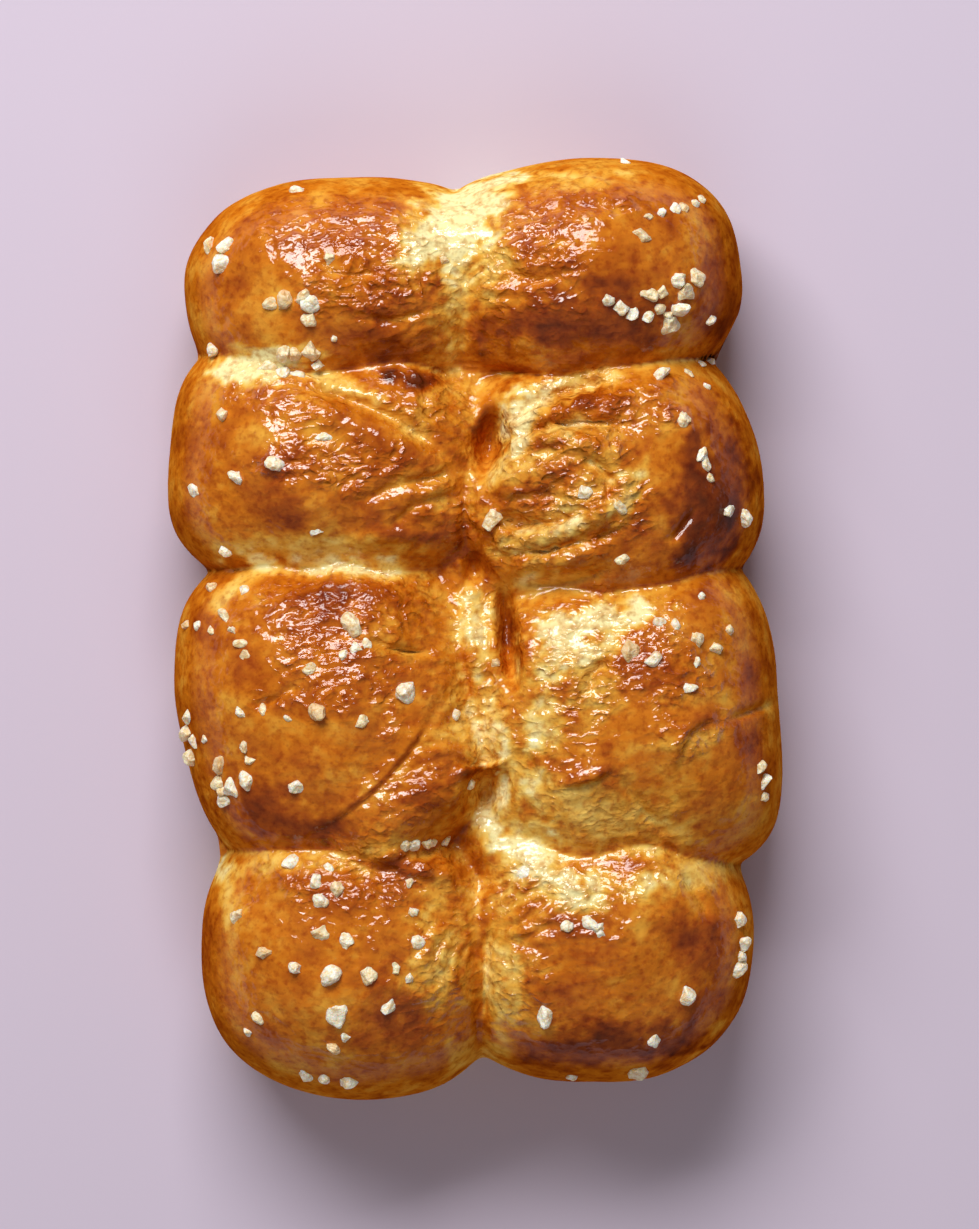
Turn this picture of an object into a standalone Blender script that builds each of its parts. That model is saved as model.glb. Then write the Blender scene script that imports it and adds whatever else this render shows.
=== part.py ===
"""A brioche: eight balls of dough baked together in two columns of four, with pearl sugar on the crust.

Metres, +Z up. The loaf rests on its flat base at z = 0, its length runs along Y, and the origin is the
middle of the base. Its top is a height over the plan, the highest of the balls' domes, so that the
balls meet in creases.
"""

import math
from collections import namedtuple
from functools import lru_cache
from itertools import product

import bpy
import numpy as np

# Driving dimensions.
LOAF_LENGTH = 0.255
LOAF_WIDTH = 0.166
WAIST_HEIGHT = 0.024  # where the loaf is widest, seen from the side
BASE_INSET = 0.011  # how far the sides curve in between the waist and the base
CREASE_ROUNDING = 0.0018
SWELLING_ROUNDING = 0.0040

# The balls of dough: centre, half length and half width of the dome, turn of its long axis in degrees,
# how square its outline is, height of its top, and the point near the seam that its skin is gathered to.
Ball = namedtuple("Ball", "x y half_length half_width turn square top gather_x gather_y")
BALLS = (
    Ball(-0.0330, 0.0910, 0.0450, 0.0308, 2, 2.4, 0.0650, -0.002, 0.084),
    Ball(0.0285, 0.0945, 0.0440, 0.0320, 4, 2.5, 0.0670, -0.004, 0.082),
    Ball(-0.0360, 0.0440, 0.0463, 0.0362, -5, 3.0, 0.0665, 0.002, 0.042),
    Ball(0.0325, 0.0388, 0.0455, 0.0402, 14, 2.6, 0.0670, -0.002, 0.036),
    Ball(-0.0362, -0.0215, 0.0432, 0.0488, 13, 2.60, 0.0685, 0.000, -0.008),
    Ball(0.0382, -0.0243, 0.0448, 0.0462, 5, 3.6, 0.0680, 0.004, -0.030),
    Ball(-0.0308, -0.0865, 0.0427, 0.0412, -3, 2.3, 0.0650, 0.000, -0.078),
    Ball(0.0325, -0.0845, 0.0435, 0.0388, 1, 2.3, 0.0640, 0.001, -0.080),
)
# Smaller swellings along the middle seam, where the balls were twisted into each other.
SWELLINGS = (
    Ball(-0.0190, -0.0440, 0.0350, 0.0225, 46, 2.2, 0.0670, 0.004, -0.030),
    Ball(0.0010, -0.0100, 0.0260, 0.0085, 100, 2.0, 0.0570, 0.004, 0.014),
    Ball(0.0180, -0.0670, 0.0210, 0.0150, -35, 2.0, 0.0590, 0.004, -0.080),
    Ball(0.0080, -0.0580, 0.0190, 0.0160, -30, 2.0, 0.0540, 0.004, -0.070),
    Ball(0.0200, 0.0420, 0.0230, 0.0095, 4, 2.2, 0.0680, 0.000, 0.040),
    Ball(-0.0020, 0.1010, 0.0190, 0.0170, 0, 2.0, 0.0590, -0.004, 0.082),
    Ball(-0.0010, 0.0000, 0.1080, 0.0190, 91, 3.0, 0.0520, 0.000, 0.000),
)
# The dough lower down, where the balls have run together.
BODY = Ball(-0.0010, -0.0010, 0.1150, 0.0700, 92, 5.0, 0.0480, 0.0, 0.0)
BODY_POWER = 1.3
DOME_POWER = 2.2  # 2 is an ellipse in section, and more is fuller at the shoulder

# Folds of the skin, each along a bent line through three points: ridges stand up, grooves sink in, and a
# lip is skin that ends above its left side. Width and height are those of the fold's section.
Fold = namedtuple("Fold", "kind start middle end width height")
FOLDS = (
    Fold("groove", (-0.050, 0.064), (-0.026, 0.058), (-0.004, 0.043), 0.0016, 0.0034),
    Fold("ridge", (-0.048, 0.060), (-0.028, 0.052), (-0.008, 0.041), 0.0034, 0.0018),
    Fold("groove", (-0.034, 0.031), (-0.016, 0.039), (-0.001, 0.040), 0.0017, 0.0022),
    Fold("groove", (-0.024, 0.024), (-0.014, 0.033), (-0.002, 0.035), 0.0017, 0.0018),
    Fold("ridge", (-0.038, 0.021), (-0.022, 0.024), (-0.006, 0.021), 0.0028, 0.0018),
    Fold("groove", (-0.041, 0.099), (-0.034, 0.094), (-0.021, 0.096), 0.0013, 0.0020),
    Fold("groove", (-0.034, 0.084), (-0.022, 0.082), (-0.010, 0.086), 0.0014, 0.0018),
    Fold("groove", (0.004, 0.100), (0.014, 0.093), (0.026, 0.094), 0.0015, 0.0018),
    Fold("groove", (0.012, 0.120), (0.026, 0.121), (0.040, 0.117), 0.0011, 0.0012),
    Fold("ridge", (0.009, 0.059), (0.018, 0.067), (0.040, 0.069), 0.0034, 0.0022),
    Fold("groove", (0.010, 0.054), (0.022, 0.062), (0.044, 0.066), 0.0018, 0.0034),
    Fold("ridge", (0.013, 0.053), (0.026, 0.059), (0.048, 0.060), 0.0030, 0.0022),
    Fold("groove", (0.011, 0.049), (0.025, 0.0545), (0.048, 0.053), 0.0017, 0.0034),
    Fold("ridge", (0.009, 0.046), (0.024, 0.051), (0.042, 0.041), 0.0026, 0.0026),
    Fold("groove", (0.026, 0.046), (0.035, 0.041), (0.035, 0.031), 0.0018, 0.0028),
    Fold("groove", (0.004, 0.031), (0.018, 0.0275), (0.034, 0.032), 0.0024, 0.0040),
    Fold("ridge", (0.006, 0.023), (0.022, 0.026), (0.046, 0.035), 0.0026, 0.0026),
    Fold("groove", (0.005, 0.021), (0.020, 0.0205), (0.046, 0.029), 0.0013, 0.0020),
    Fold("ridge", (0.006, 0.017), (0.020, 0.017), (0.040, 0.023), 0.0028, 0.0020),
    Fold("groove", (0.008, 0.013), (0.024, 0.012), (0.042, 0.018), 0.0016, 0.0026),
    Fold("groove", (0.051, 0.022), (0.056, 0.027), (0.060, 0.033), 0.0011, 0.0022),
    Fold("groove", (-0.028, -0.002), (-0.020, -0.006), (-0.008, -0.006), 0.0012, 0.0030),
    Fold("lip", (-0.008, -0.016), (-0.024, -0.041), (-0.050, -0.058), 0.0050, 0.0011),
    Fold("groove", (-0.060, -0.022), (-0.052, -0.019), (-0.044, -0.013), 0.0013, 0.0020),
    Fold("ridge", (-0.058, 0.004), (-0.034, 0.010), (-0.008, 0.006), 0.0036, 0.0016),
    Fold("groove", (0.083, -0.020), (0.076, -0.022), (0.067, -0.025), 0.0010, 0.0030),
    Fold("lip", (0.068, -0.0245), (0.058, -0.028), (0.054, -0.042), 0.0040, 0.0014),
    Fold("lip", (0.038, -0.037), (0.031, -0.041), (0.020, -0.043), 0.0040, 0.0022),
    Fold("groove", (0.038, -0.037), (0.045, -0.048), (0.054, -0.056), 0.0015, 0.0018),
    Fold("groove", (0.034, -0.020), (0.032, -0.012), (0.040, -0.011), 0.0016, 0.0020),
    Fold("groove", (0.056, -0.066), (0.060, -0.072), (0.064, -0.080), 0.0014, 0.0022),
    Fold("ridge", (-0.030, -0.059), (-0.014, -0.064), (0.002, -0.067), 0.0026, 0.0026),
    Fold("lip", (-0.006, -0.036), (0.002, -0.037), (0.010, -0.034), 0.0036, 0.0040),
    Fold("groove", (0.004, -0.078), (0.0035, -0.092), (0.003, -0.108), 0.0013, 0.0040),
)
# Hollows between the balls that open down into the loaf: centre, half length, half width, turn, depth.
Hollow = namedtuple("Hollow", "x y half_length half_width turn depth")
HOLLOWS = (
    Hollow(0.0048, 0.0495, 0.0085, 0.0038, 80, 0.0130),
    Hollow(0.0095, -0.0030, 0.0110, 0.0026, 96, 0.0130),
    Hollow(0.0040, -0.0430, 0.0060, 0.0050, 60, 0.0060),
    Hollow(0.0000, 0.0150, 0.0040, 0.0024, 80, 0.0050),
)
GATHER_REACH = 0.034  # how far from its gathering point a ball's skin is wrinkled
GATHER_DEPTH = 0.0012
GATHERS_PER_RADIAN = 3.2
SWELL_DEPTH = 0.0016  # broad unevenness of the domes
SWELL_SIZE = 0.022
WANDER_DEPTH = 0.0034  # how far the creases between the balls stray from even curves
WANDER_SIZE = 0.020

# Pearl sugar lies singly or in short trails: start, end, number of grains and their radius.
Trail = namedtuple("Trail", "start end grains size")
TRAILS = (
    Trail((-0.070, 0.103), (-0.066, 0.102), 2, 0.0026),
    Trail((-0.067, 0.097), (-0.067, 0.097), 1, 0.0026),
    Trail((-0.0465, 0.117), (-0.0465, 0.117), 1, 0.0023),
    Trail((-0.038, 0.0985), (-0.038, 0.0985), 1, 0.0022),
    Trail((-0.054, 0.087), (-0.045, 0.0885), 3, 0.0027),
    Trail((-0.043, 0.087), (-0.0435, 0.083), 2, 0.0026),
    Trail((-0.037, 0.077), (-0.0075, 0.098), 2, 0.0014),
    Trail((-0.0695, 0.0745), (-0.0695, 0.0745), 1, 0.0025),
    Trail((-0.051, 0.074), (-0.043, 0.0735), 3, 0.0025),
    Trail((-0.055, 0.0695), (-0.047, 0.068), 3, 0.0024),
    Trail((-0.0415, 0.0705), (-0.0415, 0.0705), 1, 0.0019),
    Trail((-0.067, 0.057), (-0.067, 0.057), 1, 0.0025),
    Trail((-0.0525, 0.0435), (-0.0525, 0.0435), 1, 0.0028),
    Trail((-0.0395, 0.0505), (-0.0395, 0.0505), 1, 0.0022),
    Trail((-0.075, 0.037), (-0.0635, 0.0405), 2, 0.0021),
    Trail((-0.0415, 0.026), (-0.0655, 0.0205), 2, 0.0019),
    Trail((-0.070, 0.010), (-0.061, 0.010), 2, 0.0017),
    Trail((-0.077, 0.0005), (-0.070, -0.0005), 3, 0.0017),
    Trail((-0.066, 0.003), (-0.060, -0.007), 4, 0.0019),
    Trail((-0.032, 0.001), (-0.032, 0.001), 1, 0.0031),
    Trail((-0.0285, -0.0045), (-0.035, -0.0075), 3, 0.0019),
    Trail((-0.043, -0.011), (-0.043, -0.011), 1, 0.0021),
    Trail((-0.018, -0.0175), (-0.018, -0.0175), 1, 0.0033),
    Trail((-0.0555, -0.022), (-0.0495, -0.0245), 2, 0.0016),
    Trail((-0.041, -0.022), (-0.0295, -0.0255), 2, 0.0025),
    Trail((-0.0615, -0.0235), (-0.0615, -0.0315), 2, 0.0019),
    Trail((-0.0765, -0.024), (-0.0745, -0.035), 4, 0.0023),
    Trail((-0.0715, -0.030), (-0.0715, -0.030), 1, 0.0016),
    Trail((-0.0675, -0.036), (-0.0600, -0.035), 2, 0.0026),
    Trail((-0.0685, -0.0415), (-0.0655, -0.0465), 3, 0.0025),
    Trail((-0.0645, -0.043), (-0.0595, -0.040), 2, 0.0027),
    Trail((-0.047, -0.042), (-0.047, -0.042), 1, 0.0023),
    Trail((-0.0055, -0.024), (-0.0005, -0.042), 2, 0.0019),
    Trail((-0.0185, -0.0575), (-0.0075, -0.057), 5, 0.0019),
    Trail((-0.0485, -0.063), (-0.0385, -0.0645), 2, 0.0021),
    Trail((-0.041, -0.0675), (-0.036, -0.070), 2, 0.0023),
    Trail((-0.0405, -0.072), (-0.040, -0.082), 2, 0.0026),
    Trail((-0.034, -0.0835), (-0.034, -0.0835), 1, 0.0029),
    Trail((-0.063, -0.0775), (-0.063, -0.0775), 1, 0.0021),
    Trail((-0.0555, -0.087), (-0.0555, -0.087), 1, 0.0024),
    Trail((-0.047, -0.091), (-0.0375, -0.0935), 2, 0.0028),
    Trail((-0.028, -0.0925), (-0.028, -0.0925), 1, 0.0028),
    Trail((-0.0215, -0.091), (-0.0175, -0.0935), 2, 0.0018),
    Trail((-0.0225, -0.1005), (-0.0225, -0.1005), 1, 0.0025),
    Trail((-0.017, -0.068), (-0.0155, -0.084), 3, 0.0019),
    Trail((-0.036, -0.103), (-0.036, -0.103), 1, 0.0028),
    Trail((-0.0565, -0.104), (-0.0605, -0.108), 2, 0.0018),
    Trail((-0.034, -0.109), (-0.0375, -0.112), 2, 0.0021),
    Trail((-0.0445, -0.120), (-0.0405, -0.120), 2, 0.0023),
    Trail((-0.033, -0.1215), (-0.033, -0.1215), 1, 0.0026),
    Trail((0.041, 0.125), (0.041, 0.125), 1, 0.0017),
    Trail((0.054, 0.1115), (0.062, 0.1145), 4, 0.0018),
    Trail((0.047, 0.1095), (0.0505, 0.111), 2, 0.0018),
    Trail((0.045, 0.1045), (0.045, 0.1045), 1, 0.0023),
    Trail((0.0505, 0.0895), (0.0600, 0.094), 3, 0.0025),
    Trail((0.0565, 0.089), (0.0535, 0.081), 3, 0.0027),
    Trail((0.0465, 0.0885), (0.052, 0.083), 3, 0.0023),
    Trail((0.037, 0.0875), (0.0425, 0.083), 3, 0.0023),
    Trail((0.0465, 0.0825), (0.0635, 0.0825), 2, 0.0021),
    Trail((0.050, 0.067), (0.050, 0.067), 1, 0.0028),
    Trail((0.0575, 0.068), (0.063, 0.064), 2, 0.0016),
    Trail((0.0605, 0.071), (0.063, 0.071), 2, 0.0014),
    Trail((0.0565, 0.0555), (0.0565, 0.0555), 1, 0.0024),
    Trail((0.061, 0.0465), (0.064, 0.0405), 3, 0.0021),
    Trail((0.0685, 0.0315), (0.0725, 0.030), 2, 0.0023),
    Trail((0.0295, 0.036), (0.040, 0.0315), 2, 0.0021),
    Trail((0.040, 0.0185), (0.040, 0.0185), 1, 0.0023),
    Trail((0.0055, 0.029), (0.0055, 0.029), 1, 0.0025),
    Trail((0.0505, 0.0008), (0.0535, 0.000), 2, 0.0018),
    Trail((0.060, -0.003), (0.0645, -0.0055), 2, 0.0023),
    Trail((0.0615, 0.008), (0.068, 0.000), 2, 0.0017),
    Trail((0.0425, -0.0065), (0.048, -0.0085), 2, 0.0026),
    Trail((0.059, -0.010), (0.0575, -0.0155), 2, 0.0019),
    Trail((0.006, -0.0095), (0.006, -0.0095), 1, 0.0018),
    Trail((0.077, -0.0375), (0.078, -0.045), 3, 0.0021),
    Trail((0.014, -0.066), (0.014, -0.066), 1, 0.0021),
    Trail((0.025, -0.080), (0.025, -0.080), 1, 0.0021),
    Trail((0.031, -0.079), (0.035, -0.081), 3, 0.0019),
    Trail((0.071, -0.0785), (0.071, -0.0785), 1, 0.0024),
    Trail((0.072, -0.085), (0.071, -0.0915), 3, 0.0022),
    Trail((0.057, -0.098), (0.057, -0.098), 1, 0.0027),
    Trail((0.019, -0.103), (0.019, -0.103), 1, 0.0025),
    Trail((0.049, -0.110), (0.049, -0.110), 1, 0.0023),
    Trail((0.0445, -0.119), (0.0445, -0.119), 1, 0.0026),
    Trail((0.0265, -0.1205), (0.0265, -0.1205), 1, 0.0019),
)
GRAIN_SCATTER = 0.0007  # how far a grain lies off its trail
SIZE_SPREAD = 0.15  # how much a grain's radius differs from its trail's
SUGAR_SEED = 11

# The mesh: steps over the top, along X and Y, and down each side, before it is reduced.
STEPS_ACROSS = 110
STEPS_ALONG = 170
STEPS_DOWN = 10
KEPT_SHARE = 0.106  # of the triangles, after reduction
GRAIN_TRIANGLES_LEVEL = 1  # subdivisions of the icosahedron that a grain starts from

WAIST_RING = 0.90  # share of the way from the middle of the mesh to its edge where the waist is
EVEN_SHARE = 0.85  # share of the plan that has even steps, before they close up towards the waist
RIM_HEIGHT = 0.060  # most that the top may stand over the waist, falling to nothing at the outline
RIM_POWER = 10
NOISE_CELLS = 32

CRUST_COLOUR = (0.43, 0.13, 0.02)


@lru_cache
def noise_slopes(seed):
    draws = np.random.RandomState(seed).normal(size=(NOISE_CELLS,) * 3 + (3,))
    return draws / np.linalg.norm(draws, axis=-1, keepdims=True)


def noise(points, size, seed):
    """Smooth noise, about -1 to 1, at points (n by 3), with bumps about size across."""
    slopes = noise_slopes(seed)
    scaled = points / size
    cell = np.floor(scaled).astype(int)
    inside = scaled - cell
    share = inside**3 * (inside * (inside * 6 - 15) + 10)
    total = np.zeros(len(points))
    for corner in product((0, 1), repeat=3):
        slope = slopes[tuple(((cell + corner) % NOISE_CELLS).T)]
        weight = np.prod(np.where(corner, share, 1 - share), axis=1)
        total += weight * np.sum(slope * (inside - corner), axis=1)
    return 1.6 * total


def smooth_step(value, low, high):
    """0 below low, 1 above high, and a smooth rise between."""
    t = np.clip((value - low) / (high - low), 0, 1)
    return t * t * (3 - 2 * t)


def in_turned_frame(x, y, shape):
    """x and y measured along and across the long axis of a ball or hollow."""
    c, s = math.cos(math.radians(shape.turn)), math.sin(math.radians(shape.turn))
    dx, dy = x - shape.x, y - shape.y
    return c * dx + s * dy, c * dy - s * dx


def share_out(ball, x, y):
    """How far out on a ball's plan a point is: 0 at its centre, 1 on its outline."""
    along, across = in_turned_frame(x, y, ball)
    u = np.abs(along) / ball.half_length
    v = np.abs(across) / ball.half_width
    return (u**ball.square + v**ball.square) ** (1 / ball.square)


def gathers(ball, x, y):
    """Wrinkles that fan out from the point towards which the ball's skin is gathered."""
    dx, dy = x - ball.gather_x, y - ball.gather_y
    away = np.hypot(dx, dy)
    facing = np.arctan2(ball.y - ball.gather_y, ball.x - ball.gather_x)
    angle = (np.arctan2(dy, dx) - facing + math.pi) % (2 * math.pi) - math.pi
    bend = 1.3 * noise(np.stack([x, y, np.full_like(x, ball.top)], axis=1), 0.016, 3)
    which = np.full_like(x, 10 * ball.y)
    fan = np.stack([angle * GATHERS_PER_RADIAN + bend, away / 0.018, which], axis=1)
    folds = np.abs(noise(fan, 1.0, 5)) * 2 - 0.6
    fade = np.exp(-((away / GATHER_REACH) ** 2)) * smooth_step(away, 0.002, 0.012)
    return GATHER_DEPTH * folds * fade


def dome(ball, x, y, power=DOME_POWER):
    """Height of one ball over the plan, at the waist outside its outline."""
    out = np.minimum(share_out(ball, x, y), 1)
    full = (1 - out**power) ** (1 / power)
    relief = gathers(ball, x, y) * smooth_step(full, 0.1, 0.5)
    return WAIST_HEIGHT + (ball.top - WAIST_HEIGHT) * full + relief


def smooth_highest(a, b, rounding):
    """The higher of two surfaces, filled out a little where they cross."""
    near = np.clip(0.5 + (a - b) / (2 * rounding), 0, 1)
    return b + (a - b) * near + rounding * near * (1 - near)


def bent_line(fold, count=16):
    """Points along a fold's line, a quadratic curve that passes through its middle point."""
    t = np.linspace(0, 1, count)[:, None]
    start, middle, end = (np.array(p) for p in (fold.start, fold.middle, fold.end))
    control = 2 * middle - (start + end) / 2
    return (1 - t) ** 2 * start + 2 * t * (1 - t) * control + t**2 * end


def fold_relief(fold, x, y):
    """What a fold adds to the height."""
    line = bent_line(fold)
    best = np.full_like(x, np.inf)
    offset = np.zeros_like(x)
    along = np.zeros_like(x)
    for i, (a, b) in enumerate(zip(line[:-1], line[1:])):
        step = b - a
        length = np.hypot(*step)
        t = np.clip(((x - a[0]) * step[0] + (y - a[1]) * step[1]) / length**2, 0, 1)
        away = np.hypot(x - a[0] - t * step[0], y - a[1] - t * step[1])
        side = np.sign(step[0] * (y - a[1]) - step[1] * (x - a[0]))
        nearer = away < best
        best = np.where(nearer, away, best)
        offset = np.where(nearer, side * away, offset)
        along = np.where(nearer, (i + t) / (len(line) - 1), along)
    taper = smooth_step(along, 0, 0.3) * smooth_step(1 - along, 0, 0.3)
    if fold.kind == "ridge":
        return fold.height * taper * np.exp(-((best / fold.width) ** 2))
    if fold.kind == "groove":
        return -fold.height * taper * np.exp(-((best / fold.width) ** 1.5))
    raised = smooth_step(-offset, -0.0006, 0.0006)
    skin = raised * np.exp(-((best / fold.width) ** 2))
    shade = 0.3 * (1 - raised) * np.exp(-((best / 0.0015) ** 2))
    return fold.height * taper * (skin - shade)


def hollow_depth(hollow, x, y):
    """How far a hollow sinks into the loaf, deepest in its middle."""
    along, across = in_turned_frame(x, y, hollow)
    out = (along / hollow.half_length) ** 2 + (across / hollow.half_width) ** 2
    return hollow.depth * np.exp(-(out**1.5))


def wander(x, y):
    """The plan's points moved a little, less near the outline, so that creases aren't even curves."""
    outward = np.maximum(np.abs(x) / LOAF_WIDTH, np.abs(y) / LOAF_LENGTH) * 2
    depth = WANDER_DEPTH * (1 - 0.8 * smooth_step(outward, 0.5, 0.9))
    spots = np.stack([x, y, np.zeros_like(x)], axis=1)
    return x + depth * noise(spots, WANDER_SIZE, 7), y + depth * noise(spots, WANDER_SIZE, 8)


def crust_height(x, y):
    """Height of the crust over points of the plan that are inside the loaf's outline."""
    near_x, near_y = wander(x, y)
    height = dome(BODY, near_x, near_y, BODY_POWER)
    for ball in BALLS:
        height = smooth_highest(height, dome(ball, near_x, near_y), CREASE_ROUNDING)
    for ball in SWELLINGS:
        height = smooth_highest(height, dome(ball, near_x, near_y), SWELLING_ROUNDING)
    relief = SWELL_DEPTH * noise(np.stack([x, y, np.zeros_like(x)], axis=1), SWELL_SIZE, 21)
    for fold in FOLDS:
        relief += fold_relief(fold, x, y)
    for hollow in HOLLOWS:
        relief -= hollow_depth(hollow, x, y)
    return height + relief * smooth_step(height, WAIST_HEIGHT, WAIST_HEIGHT + 0.008)


def outline_table():
    """The loaf's outline at its waist, as distances from the middle for even angles."""
    angles = np.linspace(-math.pi, math.pi, 1441)
    reach = np.arange(0.06, 0.145, 0.0002)
    x = np.outer(np.cos(angles), reach)
    y = np.outer(np.sin(angles), reach)
    near_x, near_y = wander(x.ravel(), y.ravel())
    out = np.min([share_out(ball, near_x, near_y) for ball in (BODY, *BALLS)], axis=0)
    inside = out.reshape(x.shape) < 1
    last = reach[len(reach) - 1 - np.argmax(inside[:, ::-1], axis=1)]
    ring = np.concatenate([last[-5:-1], last, last[1:5]])
    return angles, np.convolve(ring, np.ones(9) / 9, mode="valid")


def mesh_steps(even, down):
    """Places from -1 to 1 across the mesh: even steps over the top, then steps down each side."""
    top = np.linspace(-WAIST_RING, WAIST_RING, even + 1)
    side = WAIST_RING + (1 - WAIST_RING) * np.arange(1, down + 1) / down
    return np.concatenate([-side[::-1], top, side])


def plan_share(ring):
    """How far out in plan a ring of the mesh lies: even steps, then closing up at the waist."""
    turn = EVEN_SHARE / (EVEN_SHARE + (1 - EVEN_SHARE) * math.pi / 2)
    even = ring * EVEN_SHARE / turn
    closing = np.sin(math.pi / 2 * np.clip((ring - turn) / (1 - turn), 0, 1))
    return np.where(ring < turn, even, EVEN_SHARE + (1 - EVEN_SHARE) * closing)


def loaf_surface(across, along, down):
    """The crust as a grid of points, from the middle of the top out to the edge of the base."""
    u, v = np.meshgrid(mesh_steps(across, down), mesh_steps(along, down), indexing="ij")
    ring = np.maximum(np.maximum(np.abs(u), np.abs(v)), 1e-9)
    to_x, to_y = u / ring * LOAF_WIDTH / 2, v / ring * LOAF_LENGTH / 2
    box_reach = np.hypot(to_x, to_y)
    angles, reaches = outline_table()
    reach = np.interp(np.arctan2(to_y, to_x), angles, reaches)
    share = plan_share(np.minimum(ring / WAIST_RING, 1))
    scale = share * (1 + (reach / box_reach - 1) * share**3)
    below = np.clip((ring - WAIST_RING) / (1 - WAIST_RING), 0, 1) * math.pi / 2
    x = to_x * scale * (1 - BASE_INSET / (LOAF_WIDTH / 2) * (1 - np.cos(below)))
    y = to_y * scale * (1 - BASE_INSET / (LOAF_LENGTH / 2) * (1 - np.cos(below)))
    top = crust_height(x.ravel(), y.ravel()).reshape(x.shape)
    cap = (1 - np.minimum(ring / WAIST_RING, 1) ** RIM_POWER) ** (1 / DOME_POWER)
    top = WAIST_HEIGHT + np.minimum(top - WAIST_HEIGHT, RIM_HEIGHT * cap)
    z = np.where(below > 0, WAIST_HEIGHT * (1 - np.sin(below)), top)
    return np.stack([x, y, z], axis=-1)


def grid_faces(rows, columns):
    """Quads between neighbouring points of a grid, facing up."""
    index = np.arange(rows * columns).reshape(rows, columns)
    corners = (index[:-1, :-1], index[1:, :-1], index[1:, 1:], index[:-1, 1:])
    return np.stack([c.ravel() for c in corners], axis=1).tolist()


def grid_rim(rows, columns):
    """The grid's edge points in order, so that the base can close on them."""
    index = np.arange(rows * columns).reshape(rows, columns)
    sides = (index[0, :-1], index[:-1, -1], index[-1, :0:-1], index[:0:-1, 0])
    return np.concatenate(sides).tolist()


def new_object(name, points, faces, colour, roughness):
    mesh = bpy.data.meshes.new(name)
    mesh.from_pydata([tuple(p) for p in points], [], faces)
    mesh.update()
    obj = bpy.data.objects.new(name, mesh)
    bpy.context.scene.collection.objects.link(obj)
    material = bpy.data.materials.new(name)
    material.use_nodes = True
    shader = material.node_tree.nodes["Principled BSDF"]
    shader.inputs["Base Color"].default_value = (*colour, 1)
    shader.inputs["Roughness"].default_value = roughness
    mesh.materials.append(material)
    return obj


def apply_modifiers(obj):
    graph = bpy.context.evaluated_depsgraph_get()
    mesh = bpy.data.meshes.new_from_object(obj.evaluated_get(graph))
    obj.modifiers.clear()
    obj.data = mesh


def make_loaf():
    """The crust and the flat base as one closed mesh, reduced to where its form needs triangles."""
    grid = loaf_surface(STEPS_ACROSS, STEPS_ALONG, STEPS_DOWN)
    rows, columns = grid.shape[:2]
    faces = grid_faces(rows, columns) + [grid_rim(rows, columns)]
    loaf = new_object("brioche", grid.reshape(-1, 3), faces, CRUST_COLOUR, 0.35)
    reduce = loaf.modifiers.new("reduce", "DECIMATE")
    reduce.ratio = KEPT_SHARE
    apply_modifiers(loaf)
    for vertex in loaf.data.vertices:
        if vertex.co.z < 0.0004:
            vertex.co.z = 0
    return loaf


def grain_places():
    """Where the sugar grains lie and how large they are: x, y, radius."""
    draw = np.random.RandomState(SUGAR_SEED)
    places = []
    for trail in TRAILS:
        start, end = np.array(trail.start), np.array(trail.end)
        for i in range(trail.grains):
            along = start + (end - start) * i / max(trail.grains - 1, 1)
            x, y = along + draw.uniform(-1, 1, 2) * GRAIN_SCATTER * (trail.grains > 1)
            places.append((x, y, trail.size * (1 + SIZE_SPREAD * draw.uniform(-1, 1))))
    return places


def make_grain(centre, size, index):
    """One grain: an angular lump, half sunk in the crust."""
    draw = np.random.RandomState(SUGAR_SEED + 1 + index)
    bpy.ops.mesh.primitive_ico_sphere_add(subdivisions=GRAIN_TRIANGLES_LEVEL, radius=1)
    grain = bpy.context.object
    stretch = np.array([draw.uniform(0.8, 1.3), draw.uniform(0.75, 1.0), draw.uniform(0.65, 0.9)])
    turn = np.linalg.qr(draw.normal(size=(3, 3)))[0]
    for vertex in grain.data.vertices:
        lump = np.array(vertex.co) * draw.uniform(0.85, 1.15) * stretch
        vertex.co = centre + turn @ lump * size
    return grain


def add_sugar(loaf):
    """Joins every grain to the crust, so that loaf and sugar are one solid."""
    heap = bpy.data.collections.new("sugar")
    bpy.context.scene.collection.children.link(heap)
    x, y, sizes = np.array(grain_places()).T
    centres = np.stack([x, y, crust_height(x, y)], axis=1)
    for index, (centre, size) in enumerate(zip(centres, sizes)):
        grain = make_grain(centre, size, index)
        for home in list(grain.users_collection):
            home.objects.unlink(grain)
        heap.objects.link(grain)
    join = loaf.modifiers.new("sugar", "BOOLEAN")
    join.operation = "UNION"
    join.operand_type = "COLLECTION"
    join.collection = heap
    join.solver = "MANIFOLD"
    apply_modifiers(loaf)
    for grain in list(heap.objects):
        bpy.data.objects.remove(grain)
    bpy.data.collections.remove(heap)


def main():
    for old in list(bpy.data.objects):
        bpy.data.objects.remove(old)
    loaf = make_loaf()
    add_sugar(loaf)


main()
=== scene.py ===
"""The brioche's looks: a finely wrinkled glossy crust and pearl sugar, on a pale floor.

Metres, in the part's frame: +Z up, +Y towards the photo's top, the flat base at z = 0.
"""

import math
from collections import namedtuple
from functools import lru_cache
from itertools import product

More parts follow.
